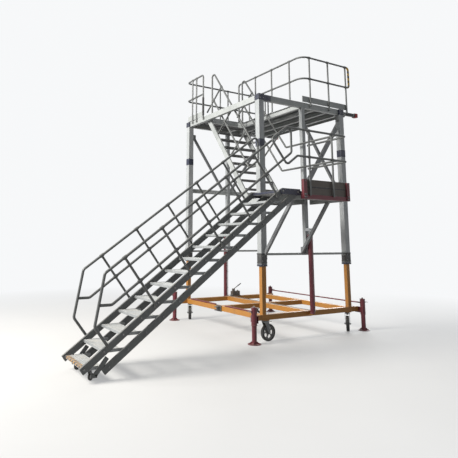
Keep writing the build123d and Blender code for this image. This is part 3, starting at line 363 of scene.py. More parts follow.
paintLooks = {
    "ochrePaint": {**paintBase, "colour": (0.44, 0.19, 0.03), "faded": (0.4, 0.19, 0.05), "mark": (0.2, 0.1, 0.05),
                   "primer": (0.22, 0.19, 0.17), "patch": 2.2, "breakup": 40.0, "wear": 0.75, "dust": 0.55,
                   "scrape": 0.7, "rough": (0.42, 0.58)},
    "maroonPaint": {**paintBase, "colour": (0.125, 0.015, 0.026), "faded": (0.15, 0.03, 0.038),
                    "mark": (0.08, 0.02, 0.03), "primer": (0.3, 0.27, 0.25), "patch": 4.0, "breakup": 55.0,
                    "wear": 0.7, "marks": 0.4, "dust": 0.4, "rough": (0.38, 0.55)},
    "navyPaint": {**paintBase, "colour": (0.015, 0.019, 0.042), "faded": (0.028, 0.032, 0.054),
                  "mark": (0.08, 0.08, 0.09), "primer": (0.42, 0.43, 0.44), "patch": 5.0, "breakup": 60.0,
                  "marks": 0.3, "dust": 0.3, "scrape": 0.4, "rough": (0.4, 0.55)},
    "darkPaint": {**paintBase, "colour": (0.06, 0.062, 0.066), "faded": (0.09, 0.09, 0.092),
                  "mark": (0.15, 0.14, 0.13), "primer": (0.42, 0.42, 0.42), "patch": 3.0, "breakup": 50.0,
                  "rough": (0.45, 0.62)},
    "panelPaint": {**paintBase, "colour": (0.078, 0.066, 0.056), "faded": (0.1, 0.086, 0.074),
                   "mark": (0.15, 0.135, 0.12), "primer": (0.36, 0.35, 0.34), "patch": 2.5, "breakup": 50.0,
                   "wear": 0.5, "scrape": 0.4, "rough": (0.48, 0.64)},
}
finish = {name: bareMetal(name, look) for name, look in metalLooks.items()}
finish.update({name: sprayedPaint(name, look) for name, look in paintLooks.items()})


def makeRubber(name, look):
    material, nodes, link, shader = startMaterial(name)
    dusty = useGroup(nodes, settledDust, Amount=0.5, Scale=14.0)
    scuffed = useGroup(nodes, grime, Scale=26.0, Low=0.45, High=0.70)
    colour = mixColour(nodes, link, scuffed, look["colour"], look["scuff"])
    colour = mixColour(nodes, link, dusty, colour, tanDust)
    link(colour, shader.inputs["Base Color"])
    link(rangeNode(nodes, link, scuffed, 0.0, 1.0, 0.62, 0.85), shader.inputs["Roughness"])
    pores = noiseNode(nodes, link, objectPlace(nodes, link), 900.0, 3.0, 0.6)
    bumpInto(nodes, link, shader, pores, 0.3, 0.0004)
    return material


def makeHazard(name, look):
    material, nodes, link, shader = startMaterial(name)
    place = objectPlace(nodes, link)
    split = nodes.new("ShaderNodeSeparateXYZ")
    link(place, split.inputs[0])
    slant = mathNode(nodes, link, "ADD", split.outputs[look["along"]], mathNode(
        nodes, link, "MULTIPLY", split.outputs[look["across"]], look["slant"]))
    cycle = mathNode(nodes, link, "FRACT", mathNode(nodes, link, "MULTIPLY", slant, 1.0 / look["pitch"]))
    stripe = mathNode(nodes, link, "GREATER_THAN", cycle, 0.5)
    worn = useGroup(nodes, grime, Scale=30.0, Low=look["worn"][0], High=look["worn"][1])
    dusty = useGroup(nodes, settledDust, Amount=0.4, Scale=9.0)
    colour = mixColour(nodes, link, stripe, look["light"], look["dark"])
    colour = mixColour(nodes, link, worn, colour, look["bare"])
    colour = mixColour(nodes, link, dusty, colour, tanDust)
    link(colour, shader.inputs["Base Color"])
    link(rangeNode(nodes, link, worn, 0.0, 1.0, 0.5, 0.7), shader.inputs["Roughness"])
    grit = noiseNode(nodes, link, place, 700.0, 2.0, 0.6)
    bumpInto(nodes, link, shader, grit, 0.5, 0.0006)
    return material


finish["tyreRubber"] = makeRubber("tyreRubber", {"colour": (0.030, 0.030, 0.032), "scuff": (0.075, 0.072, 0.068)})
finish["blackPlastic"] = makeRubber("blackPlastic", {"colour": (0.035, 0.035, 0.037), "scuff": (0.060, 0.060, 0.060)})
finish["redRubber"] = makeRubber("redRubber", {"colour": (0.40, 0.020, 0.018), "scuff": (0.30, 0.06, 0.05)})
stripes = {"light": (0.70, 0.42, 0.03), "dark": (0.03, 0.03, 0.03), "bare": (0.40, 0.40, 0.39), "pitch": 0.11,
           "along": "Y", "across": "Z", "slant": 1.0, "worn": (0.56, 0.62)}
finish["hazardNosing"] = makeHazard("hazardNosing", {
    **stripes, "light": (0.40, 0.22, 0.05), "dark": (0.05, 0.04, 0.04), "bare": (0.27, 0.24, 0.22),
    "worn": (0.46, 0.60)})
finish["hazardTape"] = makeHazard("hazardTape", {**stripes, "pitch": 0.12, "along": "Z", "across": "X", "slant": 0.6})
print("finishes made:", len(finish))


# Mesh helpers
def addRings(mesh, rings, closeEnds=True):
    rows = [[mesh.verts.new(point) for point in ring] for ring in rings]
    count = len(rows[0])
    for low, high in zip(rows, rows[1:]):
        for number in range(count):
            following = (number + 1) % count
            mesh.faces.new((low[number], low[following], high[following], high[number]))
    if closeEnds:
        mesh.faces.new(list(reversed(rows[0])))
        mesh.faces.new(rows[-1])


def squareTo(axis):
    side = axis.cross(up) if abs(axis.z) < 0.9 else axis.cross(across)
    side.normalize()
    return side, axis.cross(side).normalized()


def roundRing(centre, first, second, radius, sides):
    angles = [2 * math.pi * number / sides for number in range(sides)]
    return [centre + (first * math.cos(angle) + second * math.sin(angle)) * radius for angle in angles]


def addTurned(mesh, start, axis, profile, sides=32):
    axis = axis.normalized()
    first, second = squareTo(axis)
    addRings(mesh, [roundRing(start + axis * along, first, second, radius, sides) for along, radius in profile])


def addBlock(mesh, low, high, rounding=0.002):
    made = bmesh.ops.create_cube(mesh, size=1.0)
    middle, size = (low + high) / 2, high - low
    bmesh.ops.scale(mesh, vec=[abs(value) for value in size], verts=made["verts"])
    bmesh.ops.translate(mesh, vec=middle, verts=made["verts"])
    if rounding > 0:
        edges = list({edge for vert in made["verts"] for edge in vert.link_edges})
        width = min(rounding, min(abs(value) for value in size) * 0.3)
        bmesh.ops.bevel(mesh, geom=edges, offset=width, segments=2, profile=0.6, affect="EDGES")


# A hexagon head on a washer, with the thread's end showing in the middle
def addBolt(mesh, place, axis, size=0.016):
    axis = axis.normalized()
    addTurned(mesh, place, axis, [(0, size * 0.75), (size * 0.02, size * 0.80), (size * 0.14, size * 0.80),
                                  (size * 0.17, size * 0.76)], 18)
    addTurned(mesh, place + axis * size * 0.17, axis, [(0, size * 0.56), (size * 0.36, size * 0.56),
                                                       (size * 0.44, size * 0.48)], 6)
    addTurned(mesh, place + axis * size * 0.6, axis, [(0, size * 0.27), (size * 0.12, size * 0.27),
                                                      (size * 0.16, size * 0.22)], 10)


# A bead laid along a joint, with its ripples
def addWeld(mesh, start, end, radius=0.004):
    axis = end - start
    length = axis.length
    axis.normalize()
    first, second = squareTo(axis)
    steps = max(4, int(length / 0.006))
    rings = []
    for number in range(steps + 1):
        ripple = radius * (1.0 + 0.16 * math.sin(number * 2.1) + random.uniform(-0.08, 0.08))
        if number in (0, steps):
            ripple *= 0.45
        centre = start + axis * (length * number / steps)
        rings.append([centre + (first * math.cos(math.pi * k / 3) + second * math.sin(math.pi * k / 3)) * ripple
                      for k in range(6)])
    addRings(mesh, rings)


def finishPiece(mesh, name, body, material, replaced=(), sharp=32.0):
    bmesh.ops.recalc_face_normals(mesh, faces=mesh.faces)
    data = bpy.data.meshes.new(name)
    mesh.to_mesh(data)
    mesh.free()
    data.polygons.foreach_set("use_smooth", [True] * len(data.polygons))
    data.set_sharp_from_angle(angle=math.radians(sharp))
    data.materials.append(finish[material])
    piece = bpy.data.objects.new(name, data)
    bpy.context.scene.collection.objects.link(piece)
    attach(piece, body)
    if replaced:
        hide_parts(*replaced)
    return piece


# Finishes of the carried-over nodes
# Braces, rails, flight stringers, stair treads and castor forks take darker copies of their metals; those colours are
# painted shade.
nodeFinishes = {
    "base_frame": "ochrePaint", "inner_posts": "ochrePaint", "tow_bracket": "darkPaint",
    "jack_sleeves": "maroonPaint", "stay_rods": "maroonPaint", "ram_barrels": "maroonPaint",
    "pump_unit": "panelPaint",
    "outer_posts": "millAluminium", "post_collars": "navyPaint", "deck_frame": "beamAluminium",
    "braces": "shadedBraceAluminium", "deck_planks": "treadAluminium", "toe_boards": "beamAluminium",
    "deck_guardrail": "shadedTubeAluminium", "ram_rods": "polishedRod", "landing_frame": "beamAluminium",
    "landing_panels": "panelPaint", "flight_heads": "navyPaint", "landing_guardrail": "shadedTubeAluminium",
    "stair_stringers": "beamAluminium", "stair_treads": "shadedTread", "stair_handrails": "shadedTubeAluminium",
    "flight_stringers": "shadedSideAluminium", "link_stringers": "shadedSideAluminium", "flight_handrails": "shadedTubeAluminium",
    "jack_leg": "maroonPaint", "castor_fork": "shadedForkSteel", "castor_tyre": "tyreRubber", "castor_hub": "castHub",
    "tread": "treadAluminium", "small_fork": "shadedForkSteel", "small_wheel": "tyreRubber", "landing_front": "maroonPaint",
    "bumper_pads": "redRubber",
}


def finishNodes():
    for name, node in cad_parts.items():
        key = max((key for key in nodeFinishes if name == key or name.startswith(key + "_")), key=len)
        node.data.materials.clear()
        node.data.materials.append(finish[nodeFinishes[key]])
        join = node.modifiers.new("joinCorners", "WELD")
        join.merge_threshold = 0.00002
        soften = node.modifiers.new("softenEdges", "BEVEL")
        soften.width = 0.0018
        soften.segments = 2
        soften.limit_method = "ANGLE"
        soften.angle_limit = math.radians(50)
        soften.harden_normals = False
        even = node.modifiers.new("evenShading", "WEIGHTED_NORMAL")  # broad flat faces stay flat beside soft edges
        even.keep_sharp = True
        even.weight = 100


finishNodes()
print("nodes finished")


# More mesh helpers
def addHoop(mesh, centre, axis, loop, sides=64):
    axis = axis.normalized()
    first, second = squareTo(axis)
    rings = []
    for number in range(sides):
        angle = 2 * math.pi * number / sides
        out = first * math.cos(angle) + second * math.sin(angle)
        rings.append([mesh.verts.new(centre + axis * along + out * radius) for along, radius in loop])
    count = len(loop)
    for number in range(sides):
        here, there = rings[number], rings[(number + 1) % sides]
        for k in range(count):
            mesh.faces.new((here[k], here[(k + 1) % count], there[(k + 1) % count], there[k]))


def addTube(mesh, points, radius, sides=20):
    rings, side = [], None
    for number, point in enumerate(points):
        before, after = points[max(number - 1, 0)], points[min(number + 1, len(points) - 1)]
        way = (after - before).normalized()
        side = squareTo(way)[0] if side is None else (side - way * side.dot(way)).normalized()
        other = way.cross(side)
        rings.append(roundRing(point, side, other, radius, sides))
    addRings(mesh, rings)


# A plate whose corners are cut, lying square to its axis
def addPlate(mesh, centre, axis, wide, tall, thick, cut=0.012):
    axis = axis.normalized()
    first, second = squareTo(axis)
    half, high = wide / 2, tall / 2
    outline = [(half - cut, high), (half, high - cut), (half, cut - high), (half - cut, -high), (cut - half, -high),
               (-half, cut - high), (-half, high - cut), (cut - half, high)]
    rings = []
    for along, shrink in ((0, 0), (thick - 0.0012, 0), (thick, 0.0012)):
        rings.append([centre + axis * along + first * x * (1 - shrink / half) + second * y * (1 - shrink / high)
                      for x, y in outline])
    addRings(mesh, rings)


# Four strips that wrap a square post or beam
def addWrap(mesh, low, high, axis, thick):
    for number in range(3):
        if number == axis:
            continue
        for side in (0, 1):
            start, end = low.copy(), high.copy()
            if number != (axis + 1) % 3:
                start[(axis + 1) % 3] -= thick
                end[(axis + 1) % 3] += thick
            if side:
                start[number], end[number] = high[number], high[number] + thick
            else:
                start[number], end[number] = low[number] - thick, low[number]
            addBlock(mesh, start, end, 0.0008)


def hexNut(mesh, place, axis, size):
    addTurned(mesh, place, axis, [(0, size * 0.62), (size * 0.08, size * 0.66), (size * 0.16, size * 0.66)], 20)
    profile = [(0, size * 0.44), (size * 0.05, size * 0.50), (size * 0.40, size * 0.50), (size * 0.45, size * 0.44)]
    addTurned(mesh, place + axis.normalized() * size * 0.16, axis, profile, 6)


# An extruded board: serrated top, a lip down each long edge and webs between, running along X
def addBoard(mesh, low, high, depth, webs, teeth=0.014):
    left, right, top = low.y, high.y, high.z
    count = max(3, int((right - left) / teeth))
    pitch = (right - left) / count
    outline = []
    for number in range(count):
        start = left + number * pitch
        outline += [(start + pitch * 0.2, top), (start + pitch * 0.6, top), (start + pitch * 0.7, top - 0.0016),
                    (start + pitch * 0.95, top - 0.0016)]
    outline += [(right, top - 0.003), (right, top - depth), (right - 0.012, top - depth),
                (right - 0.012, top - depth + 0.005), (right - 0.005, top - depth + 0.006)]
    skin = top - 0.007
    for number in range(webs, 0, -1):
        middle = left + (right - left) * number / (webs + 1)
        outline += [(middle + 0.010, skin), (middle + 0.0028, skin - 0.004), (middle + 0.0028, top - depth + 0.004),
                    (middle + 0.009, top - depth + 0.004), (middle + 0.009, top - depth),
                    (middle - 0.009, top - depth), (middle - 0.009, top - depth + 0.004),
                    (middle - 0.0028, top - depth + 0.004), (middle - 0.0028, skin - 0.004), (middle - 0.010, skin)]
    outline.insert(len(outline) - webs * 10, (right - 0.005, skin))
    outline += [(left + 0.005, skin), (left + 0.005, top - depth + 0.006), (left + 0.012, top - depth + 0.005),
                (left + 0.012, top - depth), (left, top - depth), (left, top - 0.003)]
    addRings(mesh, [[Vector((x, y, z)) for y, z in outline] for x in (low.x, high.x)])


# Places that several pieces share
midX = towerWidth / 2
postSpots = {"near_left": (0.0, 0.0, -1, -1), "far_left": (0.0, towerDepth, -1, 1),
             "near_right": (towerWidth, 0.0, 1, -1), "far_right": (towerWidth, towerDepth, 1, 1)}

# Large castors: tyre, hub trim, axle nuts and brake
largeCastor = {"inset": 50.0, "crown": 359.4, "axleEnd": 0.0512,
               "tyre": [(-28, 126), (-33, 131), (-35, 139), (-34.4, 147), (-31, 153.5), (-26, 157.6), (-20, 159.5),
                        (-14, 160), (-11, 160), (-10, 158), (-7, 158), (-6, 160), (6, 160), (7, 158), (10, 158),
                        (11, 160), (14, 160), (20, 159.5), (26, 157.6), (31, 153.5), (34.4, 147), (35, 139),
                        (33, 131), (28, 126)],
               "spokes": 5, "nut": 0.030}


def castorAxes(name):
    x, y, outX = postSpots[name][:3]
    low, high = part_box("castor_tyre_" + name)
    middle = (low + high) / 2
    swivel = at(x - outX * largeCastor["inset"], y, 0)
    way = Vector((middle.x - swivel.x, middle.y - swivel.y, 0)).normalized()
    return swivel, middle, way, way.cross(up)


def makeLargeCastors():
    for name in postSpots:
        swivel, middle, way, axle = castorAxes(name)
        mesh = bmesh.new()
        addHoop(mesh, middle, axle, [(along / 1000, radius / 1000) for along, radius in largeCastor["tyre"]], 96)
        finishPiece(mesh, "tyre_" + name, "wheel_" + name, "tyreRubber", ["castor_tyre_" + name], 28)
        mesh = bmesh.new()
        for side in (-1, 1):
            out = axle * side
            addHoop(mesh, middle, out, [(0.0087, 0.029), (0.0087, 0.042), (0.013, 0.035), (0.030, 0.032),
                                        (0.0375, 0.0305), (0.0375, 0.029)], 40)
            addHoop(mesh, middle, out, [(0.0087, 0.116), (0.0087, 0.105), (0.0135, 0.111), (0.026, 0.1135),
                                        (0.0275, 0.116)], 72)
            for number in range(largeCastor["spokes"]):
                angle = 2 * math.pi * (number + 0.5) / largeCastor["spokes"]
                ray = way * math.cos(angle) + up * math.sin(angle)
                beside = ray.cross(out)
                rings = []
                for reach, half, height in ((0.031, 0.0075, 0.026), (0.060, 0.0055, 0.019), (0.112, 0.0065, 0.022)):
                    foot = middle + ray * reach
                    rings.append([foot + out * lift + beside * half * share for lift, share in
                                  ((0.008, 1.5), (height, 0.6), (height, -0.6), (0.008, -1.5))])
                addRings(mesh, rings)
            valve = middle + out * 0.0087 + (way * 0.6 + up * 0.8) * 0.112
            addTurned(mesh, valve, out, [(0, 0.004), (0.006, 0.003)], 8)
        finishPiece(mesh, "hubRibs_" + name, "wheel_" + name, "castHub")
        mesh = bmesh.new()
        for side in (-1, 1):
            out = axle * side
            axleEnd = middle + out * largeCastor["axleEnd"]
            hexNut(mesh, axleEnd, out, largeCastor["nut"])
            addTurned(mesh, middle + out * 0.059, out, [(0, 0.0098), (0.008, 0.0098), (0.0095, 0.0085)], 20)
            greaser = axleEnd - way * 0.020 + up * 0.012
            addTurned(mesh, greaser, out, [(0, 0.004), (0.004, 0.004), (0.006, 0.0022), (0.010, 0.0028)], 10)
            seam = swivel + out * 0.0515
            seam.z = at(0, 0, 358.5).z
            addWeld(mesh, seam - way * 0.045, seam + way * 0.045, 0.004)
        crownFoot = Vector((swivel.x, swivel.y, at(0, 0, largeCastor["crown"]).z))
        hexNut(mesh, crownFoot, -up, 0.036)
        finishPiece(mesh, "castorNuts_" + name, "castor_" + name, "zincSteel")
        mesh = bmesh.new()
        pedalRoot = crownFoot + way * 0.060 + up * 0.010
        rows = []
        for reach, drop, half in ((0.0, 0.0, 0.018), (0.030, 0.001, 0.018), (0.052, 0.010, 0.020),
                                  (0.078, 0.014, 0.024), (0.086, 0.012, 0.022)):
            middleRow = pedalRoot + way * reach - up * drop
            rows.append([middleRow + axle * half * side - up * deep for side, deep in
                         ((1, 0), (1, 0.006), (-1, 0.006), (-1, 0))])
        addRings(mesh, rows)
        for reach in (0.056, 0.064, 0.072):
            rib = pedalRoot + way * reach - up * (0.0095 + (reach - 0.056) * 0.2)
            addTube(mesh, [rib - axle * 0.017, rib + axle * 0.017], 0.0018, 8)
        finishPiece(mesh, "brakePedal_" + name, "castor_" + name, "clampCasting")


makeLargeCastors()


# Small castors under the first tread
smallCastor = {"tyre": [(-11, 34), (-13, 37), (-14, 42), (-12.5, 46.5), (-9, 49.2), (-4, 50), (4, 50), (9, 49.2),
                        (12.5, 46.5), (14, 42), (13, 37), (11, 34)]}


def makeSmallCastors():
    for side in ("near", "far"):
        low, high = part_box("small_wheel_" + side)
        middle = (low + high) / 2
        swivelY = flightCentre + (-1 if side == "near" else 1) * 323.0
        swivel = at(footNosing + 130.0, swivelY, 0)
        way = Vector((middle.x - swivel.x, middle.y - swivel.y, 0)).normalized()
        axle = way.cross(up)
        mesh = bmesh.new()
        addHoop(mesh, middle, axle, [(along / 1000, radius / 1000) for along, radius in smallCastor["tyre"]], 64)
        finishPiece(mesh, "smallTyre_" + side, "small_roller_" + side, "tyreRubber",
                    ["small_wheel_" + side], 28)
        mesh = bmesh.new()
        addHoop(mesh, middle, axle, [(-0.0138, 0.0062), (-0.0138, 0.014), (-0.008, 0.017), (-0.006, 0.028),
                                     (-0.0115, 0.031), (-0.0115, 0.0345), (0.0115, 0.0345), (0.0115, 0.031),
                                     (0.006, 0.028), (0.008, 0.017), (0.0138, 0.014), (0.0138, 0.0062)], 48)
        finishPiece(mesh, "smallHub_" + side, "small_roller_" + side, "castHub")
        mesh = bmesh.new()
        for out in (-1, 1):
            hexNut(mesh, middle + axle * out * 0.0206, axle * out, 0.017)
        pedal = Vector((swivel.x, swivel.y, at(0, 0, 132).z)) + way * 0.040
        addPlate(mesh, pedal - up * 0.004, up, 0.030, 0.034, 0.004, 0.005)
        finishPiece(mesh, "smallCastorNuts_" + side, "small_castor_" + side, "zincSteel")


# Jacks: crown, lock screw, ring and weld at the foot
jackParts = {"reach": 306.0, "offset": 122.0, "top": 650.0, "foot": 330.0, "leg": 0.046,
             "screwHeight": 585.0, "holes": (90.0, 150.0, 210.0, 270.0)}


# A round patch wrapped on an upright tube
def addBent(mesh, centre, side, reach, radius, sides=24):
    rings = []
    for out, share in ((-0.0006, 1.0), (0, 1.0), (0, 0.8), (0, 0.6), (0, 0.4), (0, 0.2), (0, 0.05)):
        ring = []
        for number in range(sides):
            angle = 2 * math.pi * number / sides
            turn = math.cos(angle) * radius * share / reach
            around = across * math.sin(turn) + back * side * math.cos(turn)
            ring.append(centre + around * (reach + out) + up * math.sin(angle) * radius * share)
        rings.append(ring)
    addRings(mesh, rings)


def makeJacks():
    for name, (x, y, outX, outY) in postSpots.items():
        jackX, jackY = x + outX * jackParts["reach"], y + outY * jackParts["offset"]
        spot = at(jackX, jackY, 0)
        mesh = bmesh.new()
        crown = at(jackX, jackY, jackParts["top"])
        addTurned(mesh, crown, up, [(0, 0.0545), (0.002, 0.0575), (0.008, 0.0575), (0.010, 0.0555), (0.010, 0.030),
                                    (0.014, 0.028)], 48)
        lip = [(-0.0005, 0.0475), (-0.0005, 0.0555), (0.002, 0.0575), (0.014, 0.0575), (0.017, 0.0543),
               (0.017, 0.0475)]
        addHoop(mesh, at(jackX, jackY, jackParts["foot"]), up, lip, 48)
        for height in (395.0, 480.0):
            seam = at(jackX - outX * 48, jackY - outY * 26, height)
            addWeld(mesh, seam - up * 0.022, seam + up * 0.012, 0.005)
        boss = at(jackX + outX * 52, jackY, jackParts["screwHeight"])
        addTurned(mesh, boss, across * outX, [(0, 0.020), (0.010, 0.0185), (0.020, 0.0175), (0.022, 0.016)], 28)
        finishPiece(mesh, "jackCrown_" + name, "base", "maroonPaint")
        mesh = bmesh.new()
        hexNut(mesh, crown + up * 0.014, up, 0.034)
        tip = boss + across * outX * 0.022
        screw = [(0, 0.0075), (0.026, 0.0075), (0.028, 0.011), (0.040, 0.011), (0.042, 0.009)]
        addTurned(mesh, tip, across * outX, screw, 20)
        bar = [(0, 0.0062), (0.001, 0.0072), (0.008, 0.0072), (0.009, 0.0045), (0.101, 0.0045), (0.102, 0.0072),
               (0.109, 0.0072), (0.110, 0.0062)]
        addTurned(mesh, tip + across * outX * 0.034 - back * 0.055, back, bar, 16)
        finishPiece(mesh, "lockScrew_" + name, "base", "zincSteel")
        mesh = bmesh.new()
        addHoop(mesh, at(jackX, jackY, 12), up, [(-0.001, 0.0455), (-0.001, 0.057), (0.003, 0.0545), (0.007, 0.050),
                                                 (0.011, 0.0455)], 48)
        for number in range(4):
            angle = math.pi / 4 + number * math.pi / 2
            ray = Vector((math.cos(angle), math.sin(angle), 0))
            rings = []
            for reach, height in ((0.044, 0.060), (0.048, 0.058), (0.100, 0.017), (0.104, 0.012)):
                foot = spot + ray * reach
                side = ray.cross(up) * 0.003
                low = Vector((foot.x, foot.y, at(0, 0, 11).z))
                high = low + up * (height - 0.011)
                rings.append([low + side, high + side, high - side, low - side])
            addRings(mesh, rings)
        finishPiece(mesh, "jackFoot_" + name, "jack_" + name, "maroonPaint")
        mesh = bmesh.new()
        # Dark round patches where the leg's holes are, painted shade of the holes' insides, bent to the leg so that
        # it still slides in its sleeve
        for height in jackParts["holes"]:
            for side in (-1, 1):
                addBent(mesh, at(jackX, jackY, height), side, jackParts["leg"] + 0.00018, 0.0092)
        finishPiece(mesh, "legHoleShade_" + name, "jack_" + name, "blackPlastic")


# Lower flight: the sizes that its trim is placed by
footNosing, flightCentre, flightRise, flightGoing = -3830.0, -570.0, 200.0, 270.0
flightSlope = math.atan2(flightRise, flightGoing)
pivotX, pivotZ = -308.0, 2778.0
railHigh, railLow = 876.0, 876.0 - 520.0 * math.cos(flightSlope)
makeSmallCastors()
makeJacks()


def lineZ(x, square):
    return pivotZ + (x - pivotX) * math.tan(flightSlope) + square / math.cos(flightSlope)


# Stringers of the flight and its link: grooved bars with a round head, a square foot and the link's prop
stringerBars = {
    "flightBars": {"replaces": "flight_stringers", "body": "flight", "pivot": -308.0, "foot": 45.0, "prop": False},
    "linkBars": {"replaces": "link_stringers", "body": "link", "pivot": 42.0, "foot": 100.0, "prop": True},
}
barSection = {"half": 20.0, "depth": 50.0, "round": 4.0, "groove": (34.0, 40.0, 1.6)}


def barOutline(height):
    half, cut, (low, high, deep) = barSection["half"], barSection["round"], barSection["groove"]
    scale = height / barSection["depth"]
    side = [(half - cut, height), (half - cut * 0.3, height - cut * 0.3 * scale),
            (half, height - cut * scale), (half, high * scale), (half - deep, (high - 1) * scale),
            (half - deep, (low + 1) * scale), (half, low * scale)]
    lower = [(x, -z) for x, z in reversed(side)]
    return side + lower + [(-x, z) for x, z in reversed(lower)] + [(-x, z) for x, z in reversed(side)]


def makeStringers():
    length = 13 * math.hypot(flightRise, flightGoing)
    way = Vector((math.cos(flightSlope), 0, math.sin(flightSlope)))
    square = Vector((-math.sin(flightSlope), 0, math.cos(flightSlope)))
    for name, part in stringerBars.items():
        mesh = bmesh.new()
        for side in (-1, 1):
            head = at(part["pivot"], flightCentre + side * 435, pivotZ)
            end = -(length + part["foot"])
            stations = [(end, 48.5), (end + 1.5, 50.0), (-1200, 50.0), (0, 50.0)]
            stations += [(50 * math.sin(angle), 50 * math.cos(angle)) for angle in
                         (math.radians(12 * n) for n in range(1, 8))]
            rings = []
            for run, height in stations:
                rings.append([head + way * run / 1000 + back * y / 1000 + square * z / 1000
                              for y, z in barOutline(max(height, 2.0))])
            addRings(mesh, rings)
            if part["prop"]:
                foot = head - way * length / 1000
                top, low = foot + Vector((-27, 0, 122)) / 1000, foot + Vector((-191.7, 0, -90)) / 1000
                lean = (low - top).normalized()
                beside = lean.cross(back)
                rows = []
                for point, shrink in ((top, 0.9), (top + lean * 0.003, 1.0), (low, 1.0)):
                    rows.append([point + back * y * shrink + beside * z * shrink for y, z in
                                 ((0.015, 0.027), (0.012, 0.030), (-0.012, 0.030), (-0.015, 0.027),
                                  (-0.015, -0.027), (-0.012, -0.030), (0.012, -0.030), (0.015, -0.027))])
                addRings(mesh, rows)
                addBlock(mesh, low + Vector((-60, -15, -30)) / 1000, low + Vector((30, 15, 15)) / 1000, 0.003)
        # The bars take the darker stringer aluminium, whose colour is painted shade.
        finishPiece(mesh, name, part["body"], "shadedSideAluminium", [part["replaces"]], 30)


makeStringers()

# Bolts, nuts and screws by table: piece, body, kind, then rows of start, step, count, way out and size; all take one
# finish
boltTable = {
    "stringerNuts": {"body": "flight", "kind": "nut", "rows": [
        ((-3818, flightCentre + side * 455.2, 178), (270, 0, 200), 13, (0, side, 0), 0.026) for side in (-1, 1)]},
    "linkNuts": {"body": "link", "kind": "nut", "rows": [
        ((-3468, flightCentre + side * 455.2, 178), (270, 0, 200), 13, (0, side, 0), 0.026) for side in (-1, 1)]},
    "cheekNuts": {"body": "tower", "kind": "nut", "rows": [
        ((-308, flightCentre + side * 472.2, 2778), (350, 0, 0), 2, (0, side, 0), 0.032) for side in (-1, 1)]},
    "cheekBolts": {"body": "tower", "kind": "bolt", "rows": [
        ((88, flightCentre + side * 472.2, 2746), (0, 0, 64), 2, (0, side, 0), 0.018) for side in (-1, 1)]
        + [((-250, flightCentre + side * 472.2, 2812), (110, 0, 0), 3, (0, side, 0), 0.012) for side in (-1, 1)]},
    "capBolts": {"body": "tower", "kind": "bolt", "rows": [
        ((x + dx, y + outY * 75.2, 4832), (0, 0, 62), 2, (0, outY, 0), 0.020)
        for x, y, outX, outY in postSpots.values() for dx in (-42, 42)]
        + [((x - 75.2, y + dy, 4832), (0, 0, 62), 2, (-1, 0, 0), 0.020)
           for x, y, outX, outY in postSpots.values() if outX < 0 for dy in (-42, 42)]},
    "collarBolts": {"body": "tower", "kind": "bolt", "rows": [
        ((x + dx, y + side * 73.2, 1420), (0, 0, 0), 1, (0, side, 0), 0.014)
        for x, y, outX, outY in postSpots.values() for dx in (-38, 38) for side in (-1, 1)]
        + [((x + side * 73.2, y + dy, 1420), (0, 0, 0), 1, (side, 0, 0), 0.014)
           for x, y, outX, outY in postSpots.values() for dy in (-38, 38) for side in (-1, 1)]},
    "shoeBolts": {"body": "tower", "kind": "bolt", "rows": [
        ((x + dx, y + side * 73.2, 1500), (0, 0, 100), 2, (0, side, 0), 0.018)
        for x, y, outX, outY in postSpots.values() for dx in (-44, 44) for side in (-1, 1)]},
    "uprightBolts": {"body": "tower", "kind": "bolt", "rows": [
        ((x, -1140.2, 2690), (0, 0, 50), 2, (0, -1, 0), 0.020) for x in (132, 168, 1252, 1288)]
        + [((x, -1140.2, 2990), (0, 0, 0), 1, (0, -1, 0), 0.014) for x in (150, 1270)]},
    "panelRivets": {"body": "tower", "kind": "rivet", "rows": [
        ((210, -1107.8, z), (125, 0, 0), 9, (0, -1, 0), 0.010) for z in (2749, 2866, 2894, 3011)]},
    "dockingScrews": {"body": "tower", "kind": "rivet", "rows": [
        ((2585.0, 120, z), (0, 193.5, 0), 15, (1, 0, 0), 0.014) for z in (4820, 4905)]},
    "toeRivets": {"body": "tower", "kind": "rivet", "rows": [
        ((1230, -40.1, z), (263, 0, 0), 6, (0, -1, 0), 0.010) for z in (4962, 5062)]
        + [((1230, -24.9, z), (263, 0, 0), 6, (0, 1, 0), 0.010) for z in (4962, 5062)]
        + [((60, 2990.1, z), (277, 0, 0), 10, (0, 1, 0), 0.010) for z in (4962, 5062)]
        + [((60, 2974.9, z), (277, 0, 0), 10, (0, -1, 0), 0.010) for z in (4962, 5062)]},
    "armBolts": {"body": "tower", "kind": "bolt", "rows": [
        ((2433.4, y + dy, z), (0, 0, 0), 1, (1, 0, 0), 0.016)
        for y in (0, towerDepth) for dy in (-42, 42) for z in (4820, 4905)]},
    "towBolts": {"body": "base", "kind": "bolt", "rows": [
        ((-68.2, 1475 + dy, 410), (0, 0, 70), 2, (-1, 0, 0), 0.018) for dy in (-78, 78)]},
    "jackPlateBolts": {"body": "base", "kind": "bolt", "rows": [
        ((x + outX * 258.2, y - outY * 32, 415), (0, 0, 60), 2, (outX, 0, 0), 0.020)
        for x, y, outX, outY in postSpots.values()]},
    "pumpBolts": {"body": "base", "kind": "bolt", "rows": [
        ((x, towerDepth + dy, 503.2), (0, 0, 0), 1, (0, 0, 1), 0.012) for x in (1270, 1530) for dy in (-34, 34)]},
    "ramHeadBolts": {"body": "tower", "kind": "bolt", "rows": [
        ((midX + dx, y + out * 165.2, 2130), (0, 0, 0), 1, (0, out, 0), 0.016)
        for y, out in ((0, -1), (towerDepth, 1)) for dx in (-26, 26)]},
    "braceBolts": {"body": "tower", "kind": "bolt", "rows": [
        ((1708.5, -55.2, 3785.6), (0, 0, 0), 1, (0, -1, 0), 0.026),
        ((1708.5, 55.2, 3785.6), (0, 0, 0), 1, (0, 1, 0), 0.026)]},
}


